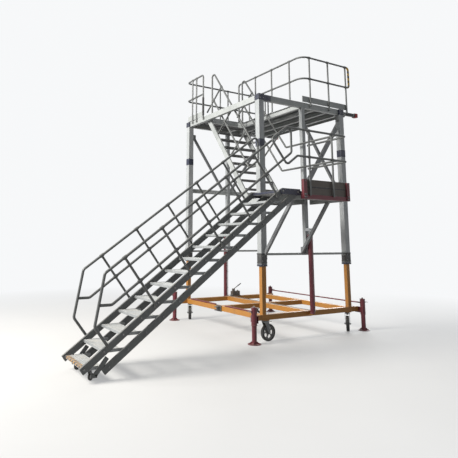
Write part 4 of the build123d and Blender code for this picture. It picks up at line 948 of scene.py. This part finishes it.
def makeBolts():
    for name, group in boltTable.items():
        mesh = bmesh.new()
        for start, step, count, way, size in group["rows"]:
            for number in range(count):
                place = at(*(first + number * more for first, more in zip(start, step)))
                if group["kind"] == "nut":
                    hexNut(mesh, place, Vector(way), size)
                    addTurned(mesh, place + Vector(way) * size * 0.55, Vector(way),
                              [(0, size * 0.30), (size * 0.16, size * 0.30), (size * 0.22, size * 0.24)], 14)
                elif group["kind"] == "bolt":
                    addBolt(mesh, place, Vector(way), size)
                else:
                    addTurned(mesh, place, Vector(way), [(0, size * 0.62), (size * 0.14, size * 0.60),
                                                         (size * 0.30, size * 0.42), (size * 0.38, size * 0.15)], 12)
        # Bolts take the darker fork steel, whose colour is painted shade.
        finishPiece(mesh, name, group["body"], "shadedForkSteel")


makeBolts()
print("castors, jacks and bolts made")


# Boards of the two decks and the stair, open underneath
boardTable = {
    "deckBoards": {"replaces": "deck_planks", "finish": "treadAluminium", "slot": "tread_aluminium", "depth": 39.6,
                   "rows": [  # x range, y range, top, webs
                       *[((1140.0, 2570.0), (40.3 + 287.0 * n, 326.7 + 287.0 * n), 4925.0, 4) for n in range(1, 9)],
                       ((1140.0, 2570.0), (75.4, 326.7), 4925.0, 4), ((1140.0, 2570.0), (2623.3, 2874.6), 4925.0, 4),
                       ((1140.0, 2274.6), (40.3, 75.3), 4925.0, 0), ((2425.6, 2570.0), (40.3, 75.3), 4925.0, 0),
                       ((1140.0, 2274.6), (2874.7, 2909.7), 4925.0, 0),
                       ((2425.6, 2570.0), (2874.7, 2909.7), 4925.0, 0),
                       ((40.0, 1139.0), (2200.3, 2554.7), 4925.0, 5), ((40.0, 1139.0), (2555.3, 2874.6), 4925.0, 5),
                       ((75.6, 1139.0), (2874.7, 2909.7), 4925.0, 0),
                       *[((110.0, 1310.0), rows, 2800.0, 3) for rows in
                         ((-1079.7, -821.5), (-820.9, -562.8), (-562.2, -304.0), (-303.4, -45.3))],
                       ((110.0, 1100.0), (-44.7, 247.2), 2800.0, 4), ((110.0, 1100.0), (247.8, 539.7), 2800.0, 4)]},
    # The stair boards take the darker tread aluminium, whose colour is painted shade.
    "stairBoards": {"replaces": "stair_treads", "finish": "shadedTread", "slot": "dark_tread", "depth": 29.8,
                    "rows": [((113.4, 996.6), (655.9 + 163.45 * n, 835.9 + 163.45 * n), 3012.5 + 212.5 * n, 2)
                             for n in range(9)]},
}


def makeBoards():
    for name, group in boardTable.items():
        mesh = bmesh.new()
        for xRange, yRange, top, webs in group["rows"]:
            addBoard(mesh, at(xRange[0], yRange[0], top), at(xRange[1], yRange[1], top), group["depth"] / 1000, webs)
        finishPiece(mesh, name, "tower", group["finish"], [group["replaces"]], 25)


makeBoards()

# Raised teeth on the flight's treads, and the striped nosing on the first
treadTrim = {"ribs": 7, "ribPitch": 40.0, "teeth": (4.0, 10.0, 16.0), "halfLength": 401.0, "nosing": (1.6, 30.0)}


def makeTreadTrim():
    for number in range(1, 14):
        front, top = footNosing + (number - 1) * flightGoing, number * flightRise
        mesh = bmesh.new()
        for rib in range(treadTrim["ribs"]):
            if number == 1 and rib == 0:
                continue
            for tooth in treadTrim["teeth"]:
                x = front + rib * treadTrim["ribPitch"] + tooth
                rings = []
                for y in (-treadTrim["halfLength"], treadTrim["halfLength"]):
                    rings.append([at(x + dx, flightCentre + y, top + dz) for dx, dz in
                                  ((-1.4, -0.4), (-0.7, 0.9), (0.7, 0.9), (1.4, -0.4))])
                addRings(mesh, rings)
        for side in (-1, 1):  # end screws in the side bars
            for x in (front + 60, front + 200):
                addTurned(mesh, at(x, flightCentre + side * 410.2, top - 20), back * side,
                          [(0, 0.0065), (0.0012, 0.0065), (0.0024, 0.0050), (0.0024, 0.0030), (0.0014, 0.0028)], 14)
        finishPiece(mesh, "treadTeeth_%02d" % number, "step_%02d" % number, "treadAluminium")
    mesh = bmesh.new()
    thick, drop = treadTrim["nosing"]
    near, far = flightCentre - 400, flightCentre + 400
    for strip in range(3):
        start = footNosing + 2 + strip * 17.5
        addBlock(mesh, at(start, near, 200.1), at(start + 15.5, far, 200.1 + thick), 0.0006)
    addBlock(mesh, at(footNosing - 1.6, near, 200 - drop), at(footNosing - 0.1, far, 200.0), 0.0006)
    finishPiece(mesh, "firstNosing", "step_01", "hazardNosing")


makeTreadTrim()

# Ring fittings where posts meet rails: raised ends and a set screw
fittingTable = {
    "deckFittings": {"body": "tower", "rows": [  # place, way along the rail, way the screw looks
        *[((x, -59.3, z), (1, 0, 0), (0, -1, 0)) for x in (1396, 1974, 2552) for z in (5505, 6010)],
        *[((x, towerDepth + 59.3, z), (1, 0, 0), (0, 1, 0)) for x in (978, 1235, 1974, 2552) for z in (5505, 6010)],
        *[((midX, y, z), (0, 1, 0), (1, 0, 0)) for y in (374, 1020, 1666) for z in (5505, 6010)],
        *[((-59.3, y, z), (0, 1, 0), (-1, 0, 0)) for y in (2734, 2535) for z in (5505, 6010)],
        *[((x, -1141, z), (1, 0, 0), (0, 1, 0)) for x in (270, 870) for z in (3440, 3950)]]},
    "flightFittings": {"body": "flight", "rows": [
        ((footNosing + 1040 + 585 * n - square * math.sin(flightSlope), flightCentre + side * 493,
          lineZ(footNosing + 1040 + 585 * n, 0) + square * math.cos(flightSlope)),
         (math.cos(flightSlope), 0, math.sin(flightSlope)), (0, side, 0))
        for n in range(5) for side in (-1, 1) for square in (railLow, railHigh)]},
}
stairSlope = (4888.0 - 2800.0) / (2200.0 - 594.0)
stairAngle = math.atan(stairSlope)
stairRise = 880.0 / math.cos(stairAngle)


def stairZ(y):
    return 2800.0 + stairSlope * (y - 594.0)


def stairFittingRows():
    rows, headY = [], 2020.0
    cosine, sine = math.cos(stairAngle), math.sin(stairAngle)
    bendY = 594.0 + (3950.0 - stairRise - 2800.0) / stairSlope
    for x in (95, 1015):
        for share in (0.15, 0.45, 0.75):
            y = bendY + share * (headY - bendY)
            for drop in (0.0, 434.0):
                place = (x, y + drop * sine, stairZ(y) + stairRise - drop * cosine)
                rows.append((place, (0, cosine, sine), (-1 if x == 95 else 1, 0, 0)))
    return rows


fittingTable["stairFittings"] = {"body": "tower", "rows": stairFittingRows()}


def makeFittings():
    for name, group in fittingTable.items():
        mesh = bmesh.new()
        for place, along, look in group["rows"]:
            centre, along, look = at(*place), Vector(along), Vector(look)
            for side in (-1, 1):
                addHoop(mesh, centre + along * side * 0.030, along * side,
                        [(-0.0005, 0.0215), (-0.0005, 0.0263), (0.0026, 0.0263), (0.0034, 0.0255), (0.0034, 0.0240),
                         (0.0058, 0.0236), (0.0064, 0.0228), (0.0064, 0.0212)], 28)
            addHoop(mesh, centre + look * 0.0265, look, [(0, 0.0035), (0, 0.0068), (0.0032, 0.0062), (0.0032, 0.0035),
                                                         (0.0012, 0.0028)], 12)
        finishPiece(mesh, name, group["body"], "clampCasting")


makeFittings()

# Bands, shoes and sleeves wrapped round square members: body, finish, slot, rows of low corner, high corner, axis
wrapTable = {
    "postBands": {"finish": "navyPaint", "slot": "navy_paint", "thick": 3.0, "rows": [
        ((x - 65, y - 65, 3800), (x + 65, y + 65, 3960), 2) for x, y, outX, outY in postSpots.values()]},
    "postShoes": {"finish": "clampCasting", "slot": "dark_paint", "thick": 8.0, "rows": [
        ((x - 65.1, y - 65.1, z), (x + 65.1, y + 65.1, z + 26), 2)
        for x, y, outX, outY in postSpots.values() for z in (1452, 1626)]},
    "postSleeves": {"finish": "clampCasting", "slot": "dark_paint", "thick": 4.0, "rows": [
        ((x - 65.1, y - 65.1, 1479), (x + 65.1, y + 65.1, 1625), 2) for x, y, outX, outY in postSpots.values()]},
    "paleBand": {"finish": "treadAluminium", "slot": "mill_aluminium", "thick": 2.0, "rows": [
        ((-65, towerDepth - 65, 2750), (65, towerDepth + 65, 2908), 2)]},
    "beamWrap": {"finish": "navyPaint", "slot": "navy_paint", "thick": 1.6, "rows": [
        ((75.5, -40.1, 4800.1), (275, 40.1, 4925.1), 0)]},
    "armSleeves": {"finish": "blackPlastic", "slot": "dark_paint", "thick": 4.0, "rows": [
        ((2560, y - 30.1, 4832.4), (2790, y + 30.1, 4892.6), 0) for y in (0, towerDepth)]},
}


def makeWraps():
    for name, group in wrapTable.items():
        mesh = bmesh.new()
        for low, high, axis in group["rows"]:
            addWrap(mesh, at(*low), at(*high), axis, group["thick"] / 1000)
        finishPiece(mesh, name, "tower", group["finish"])


makeWraps()

# Plates that join braces, arms and props to what carries them
plateTable = {
    "farPlates": {"rows": [((x, towerDepth + side * out, z), (0, side, 0), wide, tall)
                           for x, out, z, wide, tall in ((112, 24.2, 4548, 86, 120), (1062, 30.2, 3205, 110, 96),
                                                         (1288, 30.2, 3205, 110, 96), (2238, 24.2, 4548, 86, 120))
                           for side in (-1, 1)],
                  "bolts": (0.028, 0.034)},
    "nearPlates": {"rows": [((1275, -55.2, 3165), (0, -1, 0), 110, 190), ((2225, -55.2, 4520), (0, -1, 0), 120, 190),
                            ((1275, 55.2, 4425), (0, 1, 0), 110, 190), ((2225, 55.2, 3020), (0, 1, 0), 120, 190)],
                   "bolts": (0.036, 0.06)},
    "armFlanges": {"rows": [((2425.4, y, 4862.5), (1, 0, 0), 118, 118) for y in (0, towerDepth)], "bolts": None},
    "tieFlanges": {"rows": [((65.1, y, 1632), (1, 0, 0), 90, 84) for y in (0, towerDepth)]
                   + [((2284.9, y, 1632), (-1, 0, 0), 90, 84) for y in (0, towerDepth)], "bolts": (0.034, 0.030)},
}


def makePlates():
    for name, group in plateTable.items():
        mesh = bmesh.new()
        for place, way, wide, tall in group["rows"]:
            way = Vector(way)
            addPlate(mesh, at(*place), way, wide / 1000, tall / 1000, 0.007, 0.014)
            if group["bolts"]:
                first, second = squareTo(way)
                for dx in (-1, 1):
                    for dy in (-1, 1):
                        addBolt(mesh, at(*place) + way * 0.007 + first * dx * group["bolts"][0]
                                + second * dy * group["bolts"][1], way, 0.015)
        finishPiece(mesh, name, "tower", "beamAluminium")


makePlates()


# Lifting rams: gland, foot fittings, clips, and the pipes from the pump
ramParts = {"offset": 120.0, "barrelTop": 2030.0, "pipeX": 72.0, "pipeFoot": 485.0, "clips": (700, 1100, 1500, 1900)}


def makeRams():
    mesh, metal = bmesh.new(), bmesh.new()
    for y, out in ((0.0, -1), (towerDepth, 1)):
        centre = y + out * ramParts["offset"]
        top = at(midX, centre, ramParts["barrelTop"])
        addHoop(mesh, top, up, [(-0.045, 0.0448), (-0.045, 0.049), (-0.040, 0.0505), (-0.004, 0.0505), (0.0, 0.049),
                                (0.001, 0.0265), (-0.001, 0.0262)], 40)
        addHoop(mesh, at(midX, centre, 440), up, [(0.001, 0.0448), (0.001, 0.051), (0.012, 0.051), (0.022, 0.0475),
                                                  (0.024, 0.0448)], 40)
        girdle = [(0, 0.0448), (0.002, 0.0475), (0.026, 0.0475), (0.028, 0.0448)]
        addHoop(mesh, at(midX, centre, 1240), up, girdle, 40)
        addHoop(metal, top, up, [(0.001, 0.0262), (0.001, 0.040), (0.014, 0.040), (0.017, 0.036), (0.019, 0.0262)], 6)
        addHoop(metal, top, up, [(0.018, 0.0256), (0.018, 0.031), (0.024, 0.0295), (0.024, 0.0256)], 32)
        pipe = at(midX + ramParts["pipeX"], centre, ramParts["pipeFoot"])
        for lift, radius, height, sides in ((-0.016, 0.0115, 0.016, 6), (0.0, 0.0130, 0.014, 6),
                                            (0.015, 0.0095, 0.010, 18)):
            addTurned(metal, pipe + up * lift, up, [(0, radius * 0.9), (0.0012, radius), (height - 0.0012, radius),
                                                    (height, radius * 0.9)], sides)
        addTurned(metal, pipe + up * 1.488, up, [(0, 0.0095), (0.002, 0.0115), (0.018, 0.0115), (0.020, 0.0095)], 6)
        elbow = [pipe + up * 1.508, pipe + up * 1.518, at(midX + 66, centre, 2010), at(midX + 48, centre, 2012)]
        addTube(metal, elbow, 0.0065, 14)
        for height in ramParts["clips"]:
            for z in (height - 11, height + 6):
                addBlock(metal, at(midX + 43, centre - 14, z), at(midX + 81, centre + 14, z + 5), 0.001)
            addBolt(metal, at(midX + 58, centre, height + 11), up, 0.009)
    finishPiece(mesh, "ramCollars", "base", "maroonPaint")
    finishPiece(metal, "ramFittings", "base", "zincSteel")


makeRams()

# Fixed steel pipes, bent on one smooth line from the pump to each ram's foot
pipeTable = {
    "farPipe": [(1284, 2950, 530), (1262, 2950, 530), (1248, 2962, 528), (1247, 3000, 516), (1247, 3052, 500),
                (1247, 3070, 488), (1247, 3070, 470)],
    "nearPipe": [(1284, 2920, 530), (1262, 2920, 529), (1232, 2905, 520), (1204, 2880, 505), (1200, 2820, 503),
                 (1200, 2200, 503), (1200, 1500, 503), (1200, 800, 503), (1200, 160, 503), (1206, 30, 503),
                 (1232, -60, 503), (1246, -108, 496), (1247, -120, 482), (1247, -120, 470)],
}


def makePipes():
    for name, points in pipeTable.items():
        data = bpy.data.curves.new(name, "CURVE")
        data.dimensions = "3D"
        line = data.splines.new("NURBS")
        line.points.add(len(points) - 1)
        for point, place in zip(line.points, points):
            point.co = (*at(*place), 1.0)
        line.order_u = 3
        line.use_endpoint_u = True
        data.bevel_depth = 0.006
        data.bevel_resolution = 4
        data.resolution_u = 10
        data.use_fill_caps = True
        data.materials.append(finish["zincSteel"])
        piece = bpy.data.objects.new(name, data)
        bpy.context.scene.collection.objects.link(piece)
        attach(piece, "base")
    mesh = bmesh.new()
    for y in (2700, 2100, 1600, 1000, 400):
        addBlock(mesh, at(1186, y - 9, 495), at(1214, y + 9, 497), 0.0006)
        addTube(mesh, [at(1191, y, 496), at(1192, y, 504), at(1196, y, 510), at(1200, y, 511.4), at(1204, y, 510),
                       at(1208, y, 504), at(1209, y, 496)], 0.0024, 10)
    finishPiece(mesh, "pipeClips", "base", "zincSteel")


makePipes()


# Pump: filler cap, valve knob, gauge, foot plate, grip and the ends of the pipes
def makePumpTrim():
    mesh = bmesh.new()
    addPlate(mesh, at(1400, towerDepth, 495), up, 0.112, 0.290, 0.008, 0.010)
    for x in (1330, 1365, 1435, 1470, 1500):
        addBlock(mesh, at(x - 3, towerDepth - 57.5, 510), at(x + 3, towerDepth + 57.5, 604), 0.002)
    addTurned(mesh, at(1470, towerDepth, 615), up, [(0, 0.022), (0.004, 0.022), (0.006, 0.019), (0.016, 0.0185),
                                                    (0.019, 0.016)], 24)
    finishPiece(mesh, "pumpBody", "base", "panelPaint")
    mesh = bmesh.new()
    for y in (2950, 2920):
        addTurned(mesh, at(1285.5, y, 530), -across, [(0, 0.011), (0.001, 0.012), (0.013, 0.012), (0.014, 0.009),
                                                      (0.022, 0.009)], 6)
    addTurned(mesh, at(1400, 2894, 560), -back, [(0, 0.010), (0.012, 0.010), (0.013, 0.005), (0.030, 0.005)], 20)
    addTurned(mesh, at(1342, 2922, 640), -back, [(0, 0.009), (0.010, 0.009), (0.011, 0.006), (0.020, 0.006)], 16)
    finishPiece(mesh, "pumpPorts", "base", "zincSteel")
    mesh = bmesh.new()
    foot, tip = at(1342.5, 2950, 661.3), at(1572.5, 2950, 795)
    way = (tip - foot).normalized()
    grip = [(0, 0.0112), (0.004, 0.0135)]
    for number in range(7):
        grip += [(0.010 + number * 0.014, 0.0135), (0.013 + number * 0.014, 0.0122), (0.019 + number * 0.014, 0.0122),
                 (0.022 + number * 0.014, 0.0135)]
    addTurned(mesh, tip - way * 0.116, way, grip + [(0.116, 0.0135), (0.119, 0.010)], 24)
    addTurned(mesh, at(1400, 2864, 560), -back, [(0, 0.014), (0.003, 0.018), (0.012, 0.018), (0.015, 0.014)], 8)
    finishPiece(mesh, "pumpGrip", "base", "blackPlastic")


makePumpTrim()


# Docking pads, ribbed and rounded, on backing plates
def makePads():
    mesh, plates = bmesh.new(), bmesh.new()
    for y in (0, towerDepth):
        addBlock(mesh, at(2836, y - 50, 4812.6), at(2926, y + 50, 4912.4), 0.012)
        for number in range(4):
            low = 4816 + number * 24
            addBlock(mesh, at(2900, y - 46, low), at(2939.5, y + 46, low + 19), 0.007)
        addPlate(plates, at(2829.9, y, 4862.5), across, 0.098, 0.098, 0.0065, 0.010)
        for dy in (-50.5, 50.5):
            for x in (2852, 2884):
                addTurned(plates, at(x, y + dy, 4862.5), back * (1 if dy > 0 else -1),
                          [(-0.001, 0.008), (0.0016, 0.008), (0.0028, 0.0062), (0.0028, 0.0035), (0.0012, 0.003)], 14)
    finishPiece(mesh, "dockingPads", "tower", "redRubber", ["bumper_pads"])
    finishPiece(plates, "padPlates", "tower", "darkPaint")


makePads()


# Striped sleeve on the near guard loop, foam sleeve on the left hoop, plugs in the rails' open ends
def makeSleeves():
    mesh = bmesh.new()
    turns = [math.radians(9 * number) for number in range(11)]
    path = [(2590 + 70 * math.sin(turn), -59.3, 5940 + 70 * math.cos(turn)) for turn in turns]
    path += [(2660, -59.3, z) for z in range(5900, 5580, -40)]
    path += [(2590 + 70 * math.cos(turn), -59.3, 5575 - 70 * math.sin(turn)) for turn in turns[:8]]
    addTube(mesh, [at(*point) for point in path], 0.0232, 24)
    finishPiece(mesh, "loopTape", "tower", "hazardTape")
    mesh = bmesh.new()
    for x, y, low, high in ((-59.3, 2200, 4952, 5420), (midX, 2395, 4952, 5200)):
        profile = [(0, 0.022), (0.004, 0.0275), ((high - low) / 1000 - 0.004, 0.0275), ((high - low) / 1000, 0.022)]
        addTurned(mesh, at(x, y, low), up, profile, 28)
    finishPiece(mesh, "hoopSleeves", "tower", "blackPlastic")
    mesh = bmesh.new()
    for side in (-1, 1):
        start = at(footNosing + 165, flightCentre + side * 493, lineZ(footNosing + 350, railLow))
        plug = [(0, 0.017), (0.002, 0.0205), (0.0035, 0.0215), (0.018, 0.0215), (0.020, 0.0205)]
        addTurned(mesh, start - across * 0.004, across, plug, 24)
    finishPiece(mesh, "railPlugs", "flight", "blackPlastic")


makeSleeves()


# Dark plate over the landing's head, with rows of raised studs
headPlate = {"x": (-320.0, 109.0), "y": (-979.5, -160.5), "top": 2800.0, "thick": 2.4, "studs": (26.0, 30.0)}


def makeHeadPlate():
    mesh = bmesh.new()
    (left, right), (near, far), top, thick = headPlate["x"], headPlate["y"], headPlate["top"], headPlate["thick"]
    addBlock(mesh, at(left, near, top), at(right, far, top + thick), 0.0008)
    addBlock(mesh, at(left - thick, near, top - 38), at(left, far, top + thick), 0.0008)
    stepX, stepY = headPlate["studs"]
    for row in range(int((right - left - 30) / stepX)):
        for column in range(int((far - near - 30) / stepY)):
            x = left + 22 + row * stepX
            y = near + 22 + column * stepY + (stepY / 2 if row % 2 else 0)
            addTurned(mesh, at(x, y, top + thick - 0.2), up, [(0, 0.0085), (0.0010, 0.0070), (0.0014, 0.0045)], 8)
    finishPiece(mesh, "headStuds", "tower", "navyPaint")


makeHeadPlate()


# Landing panels: raised borders with a black strip between, which is painted shade of the gap; brackets that hold the
# guard posts to the beams
def makePanelTrim():
    mesh = bmesh.new()
    # The black strip in the panels' gap is painted shade.
    addBlock(mesh, at(190.6, -1107.6, 2868.5), at(1229.4, -1084.0, 2891.5), 0.002)
    finishPiece(mesh, "panelGapShade", "tower", "blackPlastic")
    mesh = bmesh.new()
    for low, high in ((2740.3, 2868.0), (2892.0, 3020.0)):
        for z in (low, high - 16):
            addBlock(mesh, at(190.6, -1107.8, z), at(1229.4, -1105.0, z + 16), 0.001)
        for x in (190.6, 1213.4):
            addBlock(mesh, at(x, -1107.8, low + 16), at(x + 16, -1105.0, high - 16), 0.001)
    for number in range(4):
        for z in (2820, 2985):
            addBlock(mesh, at(1309.6, -1060 + number * 240, z), at(1312.4, -860 + number * 240, z + 12), 0.001)
    finishPiece(mesh, "panelRibs", "tower", "panelPaint")
    mesh = bmesh.new()
    spots = [(x, -41.3, -1) for x in (1396, 1974, 2552)]
    spots += [(x, towerDepth + 41.3, 1) for x in (978, 1235, 1974, 2552)]
    for x, y, out in spots:
        for z in (4866, 4902):
            addTube(mesh, [at(x - 30, y, z), at(x - 26, y + out * 8, z), at(x - 19, y + out * 30, z),
                           at(x, y + out * 39.5, z), at(x + 19, y + out * 30, z), at(x + 26, y + out * 8, z),
                           at(x + 30, y, z)], 0.0042, 10)
            for dx in (-36, 36):
                addBolt(mesh, at(x + dx, y - out * 1.2, z), back * out, 0.012)
    for y in (2734, 2535, 2200):
        for z in (4866, 4902):
            addTube(mesh, [at(-41.3, y - 30, z), at(-49, y - 26, z), at(-71, y - 19, z), at(-80.8, y, z),
                           at(-71, y + 19, z), at(-49, y + 26, z), at(-41.3, y + 30, z)], 0.0042, 10)
            for dy in (-36, 36):
                addBolt(mesh, at(-40.1, y + dy, z), -across, 0.012)
    for y in (374, 1020, 1666):
        addPlate(mesh, at(midX, y, 4925.3), up, 0.100, 0.074, 0.007, 0.010)
        for dy in (-36, 36):
            addBolt(mesh, at(midX, y + dy, 4932.3), up, 0.011)
    finishPiece(mesh, "postStraps", "tower", "zincSteel")


makePanelTrim()

# Weld beads by table: piece, body, finish, slot, rows of start and end
weldTable = {
    "baseWelds": {"body": "base", "finish": "ochrePaint", "slot": "ochre_paint", "radius": 4.5, "rows": [
        *[((x + dx, y, 396), (x + dx, y, 494)) for x in (0, midX, towerWidth)
          for dx in (-50, 50) for y in (50, 2900)],
        *[((x - 48, y, 495), (x + 48, y, 495)) for x in (0, midX, towerWidth) for y in (50, 2900)],
        *[((x, 1427, 495), (x, 1523, 495)) for x in (50, 1125, 1225, 2300)],
        *[((x, y, 396), (x, y, 494)) for x in (50, 1125, 1225, 2300) for y in (1425, 1525)],
        *[((x - 44, y + dy, 495), (x + 44, y + dy, 495)) for x in (0, towerWidth) for y in (0, towerDepth)
          for dy in (-45, 45)],
        *[((x + dx, y - 44, 495), (x + dx, y + 44, 495)) for x in (0, towerWidth) for y in (0, towerDepth)
          for dx in (-45, 45)],
        *[((x - 60, y + dy, 394.7), (x + 60, y + dy, 394.7)) for x in (50, towerWidth - 50) for y in (0, towerDepth)
          for dy in (-50, 50)]]},
    "deckWelds": {"body": "tower", "finish": "beamAluminium", "slot": "mill_aluminium", "radius": 4.5, "rows": [
        *[((x - 33, y, 4800), (x + 33, y, 4800)) for x in (midX, 1566.7, 1958.3) for y in (40, 2910)],
        *[((x + dx, y, 4802), (x + dx, y, 4883)) for x in (midX, 1566.7, 1958.3)
          for dx in (-35, 35) for y in (40, 2910)],
        *[((x, 2202, 4800), (x, 2268, 4800)) for x in (40, 1140)],
        *[((midX - 44, y + dy, 4799.8), (midX + 44, y + dy, 4799.8)) for y in (0, towerDepth) for dy in (-40, 40)],
        *[((65, -18, z), (65, 18, z)) for z in (2660, 2760)],
        *[((150, y, 2660), (150, y + 40, 2660)) for y in (-960, -20, 500)],
        *[((x, y, 3090), (x, y, 3190)) for x in (1130, 1220, 65, 2285) for y in (2920, 2980)]]},
    "frontWelds": {"body": "tower", "finish": "maroonPaint", "slot": "maroon_paint", "radius": 4.0, "rows": [
        *[((x, -1121, 2662), (x, -1121, 2738)) for x in (190.2, 1229.8)],
        *[((x, -1080.2, 2764), (x, -1080.2, 3016)) for x in (110, 190, 1230, 1310)]]},
}


def makeWelds():
    for name, group in weldTable.items():
        mesh = bmesh.new()
        for start, end in group["rows"]:
            addWeld(mesh, at(*start), at(*end), group["radius"] / 1000)
        finishPiece(mesh, name, group["body"], group["finish"])


makeWelds()
print("boards, fittings, plates, rams, pump, pads and welds made")


# Floor, world and lamps
stageSizes = {"floor": 90.0, "floorColour": (0.62, 0.615, 0.60), "patchColour": (0.59, 0.585, 0.57),
              "bounceColour": (0.22, 0.21, 0.20), "worldLight": 0.16, "fade": (3.0, 11.0), "glow": 0.30}
roomColour = (0.93, 0.94, 0.95, 1.0)


def makeStage():
    mesh = bmesh.new()
    bmesh.ops.create_grid(mesh, x_segments=2, y_segments=2, size=stageSizes["floor"])
    data = bpy.data.meshes.new("paleFloor")
    mesh.to_mesh(data)
    mesh.free()
    floor = bpy.data.objects.new("paleFloor", data)
    floor.location = (0, 0, -0.001)
    bpy.context.scene.collection.objects.link(floor)
    material, nodes, link, shader = startMaterial("paleFloor")
    cloud = noiseNode(nodes, link, objectPlace(nodes, link), 0.6, 4.0, 0.5)
    patches = rangeNode(nodes, link, cloud, 0.3, 0.7)
    tone = mixColour(nodes, link, patches, stageSizes["floorColour"], stageSizes["patchColour"])
    path = nodes.new("ShaderNodeLightPath")  # camera and glossy rays see the pale floor, and it throws up less light
    seen = mathNode(nodes, link, "ADD", path.outputs["Is Camera Ray"], path.outputs["Is Glossy Ray"], True)
    link(mixColour(nodes, link, seen, stageSizes["bounceColour"], tone), shader.inputs["Base Color"])
    shader.inputs["Roughness"].default_value = 0.7
    far = nodes.new("ShaderNodeVectorMath")
    far.operation = "LENGTH"
    link(objectPlace(nodes, link), far.inputs[0])
    reach = rangeNode(nodes, link, far.outputs["Value"], *stageSizes["fade"], stageSizes["glow"], 1.0)
    glow, blend = nodes.new("ShaderNodeEmission"), nodes.new("ShaderNodeMixShader")
    glow.inputs["Color"].default_value = roomColour
    link(mathNode(nodes, link, "MULTIPLY", reach, seen), blend.inputs["Fac"])
    link(shader.outputs["BSDF"], blend.inputs[1])
    link(glow.outputs["Emission"], blend.inputs[2])
    link(blend.outputs[0], nodes["Material Output"].inputs["Surface"])
    data.materials.append(material)


def makeWorld():
    world = bpy.data.worlds.new("paleRoom")
    bpy.context.scene.world = world
    world.use_nodes = True
    nodes, link = world.node_tree.nodes, world.node_tree.links.new
    nodes.clear()
    out = nodes.new("ShaderNodeOutputWorld")
    path = nodes.new("ShaderNodeLightPath")
    seen = mathNode(nodes, link, "ADD", path.outputs["Is Camera Ray"], path.outputs["Is Transmission Ray"], True)
    seen = mathNode(nodes, link, "ADD", seen, path.outputs["Is Glossy Ray"], True)
    light, view = nodes.new("ShaderNodeBackground"), nodes.new("ShaderNodeBackground")
    light.inputs["Color"].default_value = (0.93, 0.96, 1.0, 1.0)
    light.inputs["Strength"].default_value = stageSizes["worldLight"]
    view.inputs["Color"].default_value = roomColour
    view.inputs["Strength"].default_value = 1.0
    mix = nodes.new("ShaderNodeMixShader")
    link(seen, mix.inputs["Fac"])
    link(light.outputs[0], mix.inputs[1])
    link(view.outputs[0], mix.inputs[2])
    link(mix.outputs[0], out.inputs["Surface"])


lampTable = {
    "keyLamp": {"place": (-11000, 1500, 8500), "aim": (600, 600, 2600), "size": 6.0, "power": 2900,
                "colour": (1.0, 0.97, 0.92)},
    "fillLamp": {"place": (1500, -13000, 6000), "aim": (1000, 0, 2500), "size": 9.0, "power": 40,
                 "colour": (0.92, 0.96, 1.0)},
    "backLamp": {"place": (13000, 10000, 7500), "aim": (1000, 1500, 2500), "size": 8.0, "power": 1300,
                 "colour": (0.96, 0.98, 1.0)},
}


def makeLamps():
    for name, lamp in lampTable.items():
        data = bpy.data.lights.new(name, "AREA")
        data.shape = "DISK"
        data.size = lamp["size"]
        data.energy = lamp["power"]
        data.color = lamp["colour"]
        light = bpy.data.objects.new(name, data)
        place = at(*lamp["place"])
        light.location = place
        light.rotation_euler = (at(*lamp["aim"]) - place).to_track_quat("-Z", "Y").to_euler()
        bpy.context.scene.collection.objects.link(light)


makeStage()
makeWorld()
makeLamps()
bpy.context.scene.view_settings.view_transform = "Standard"
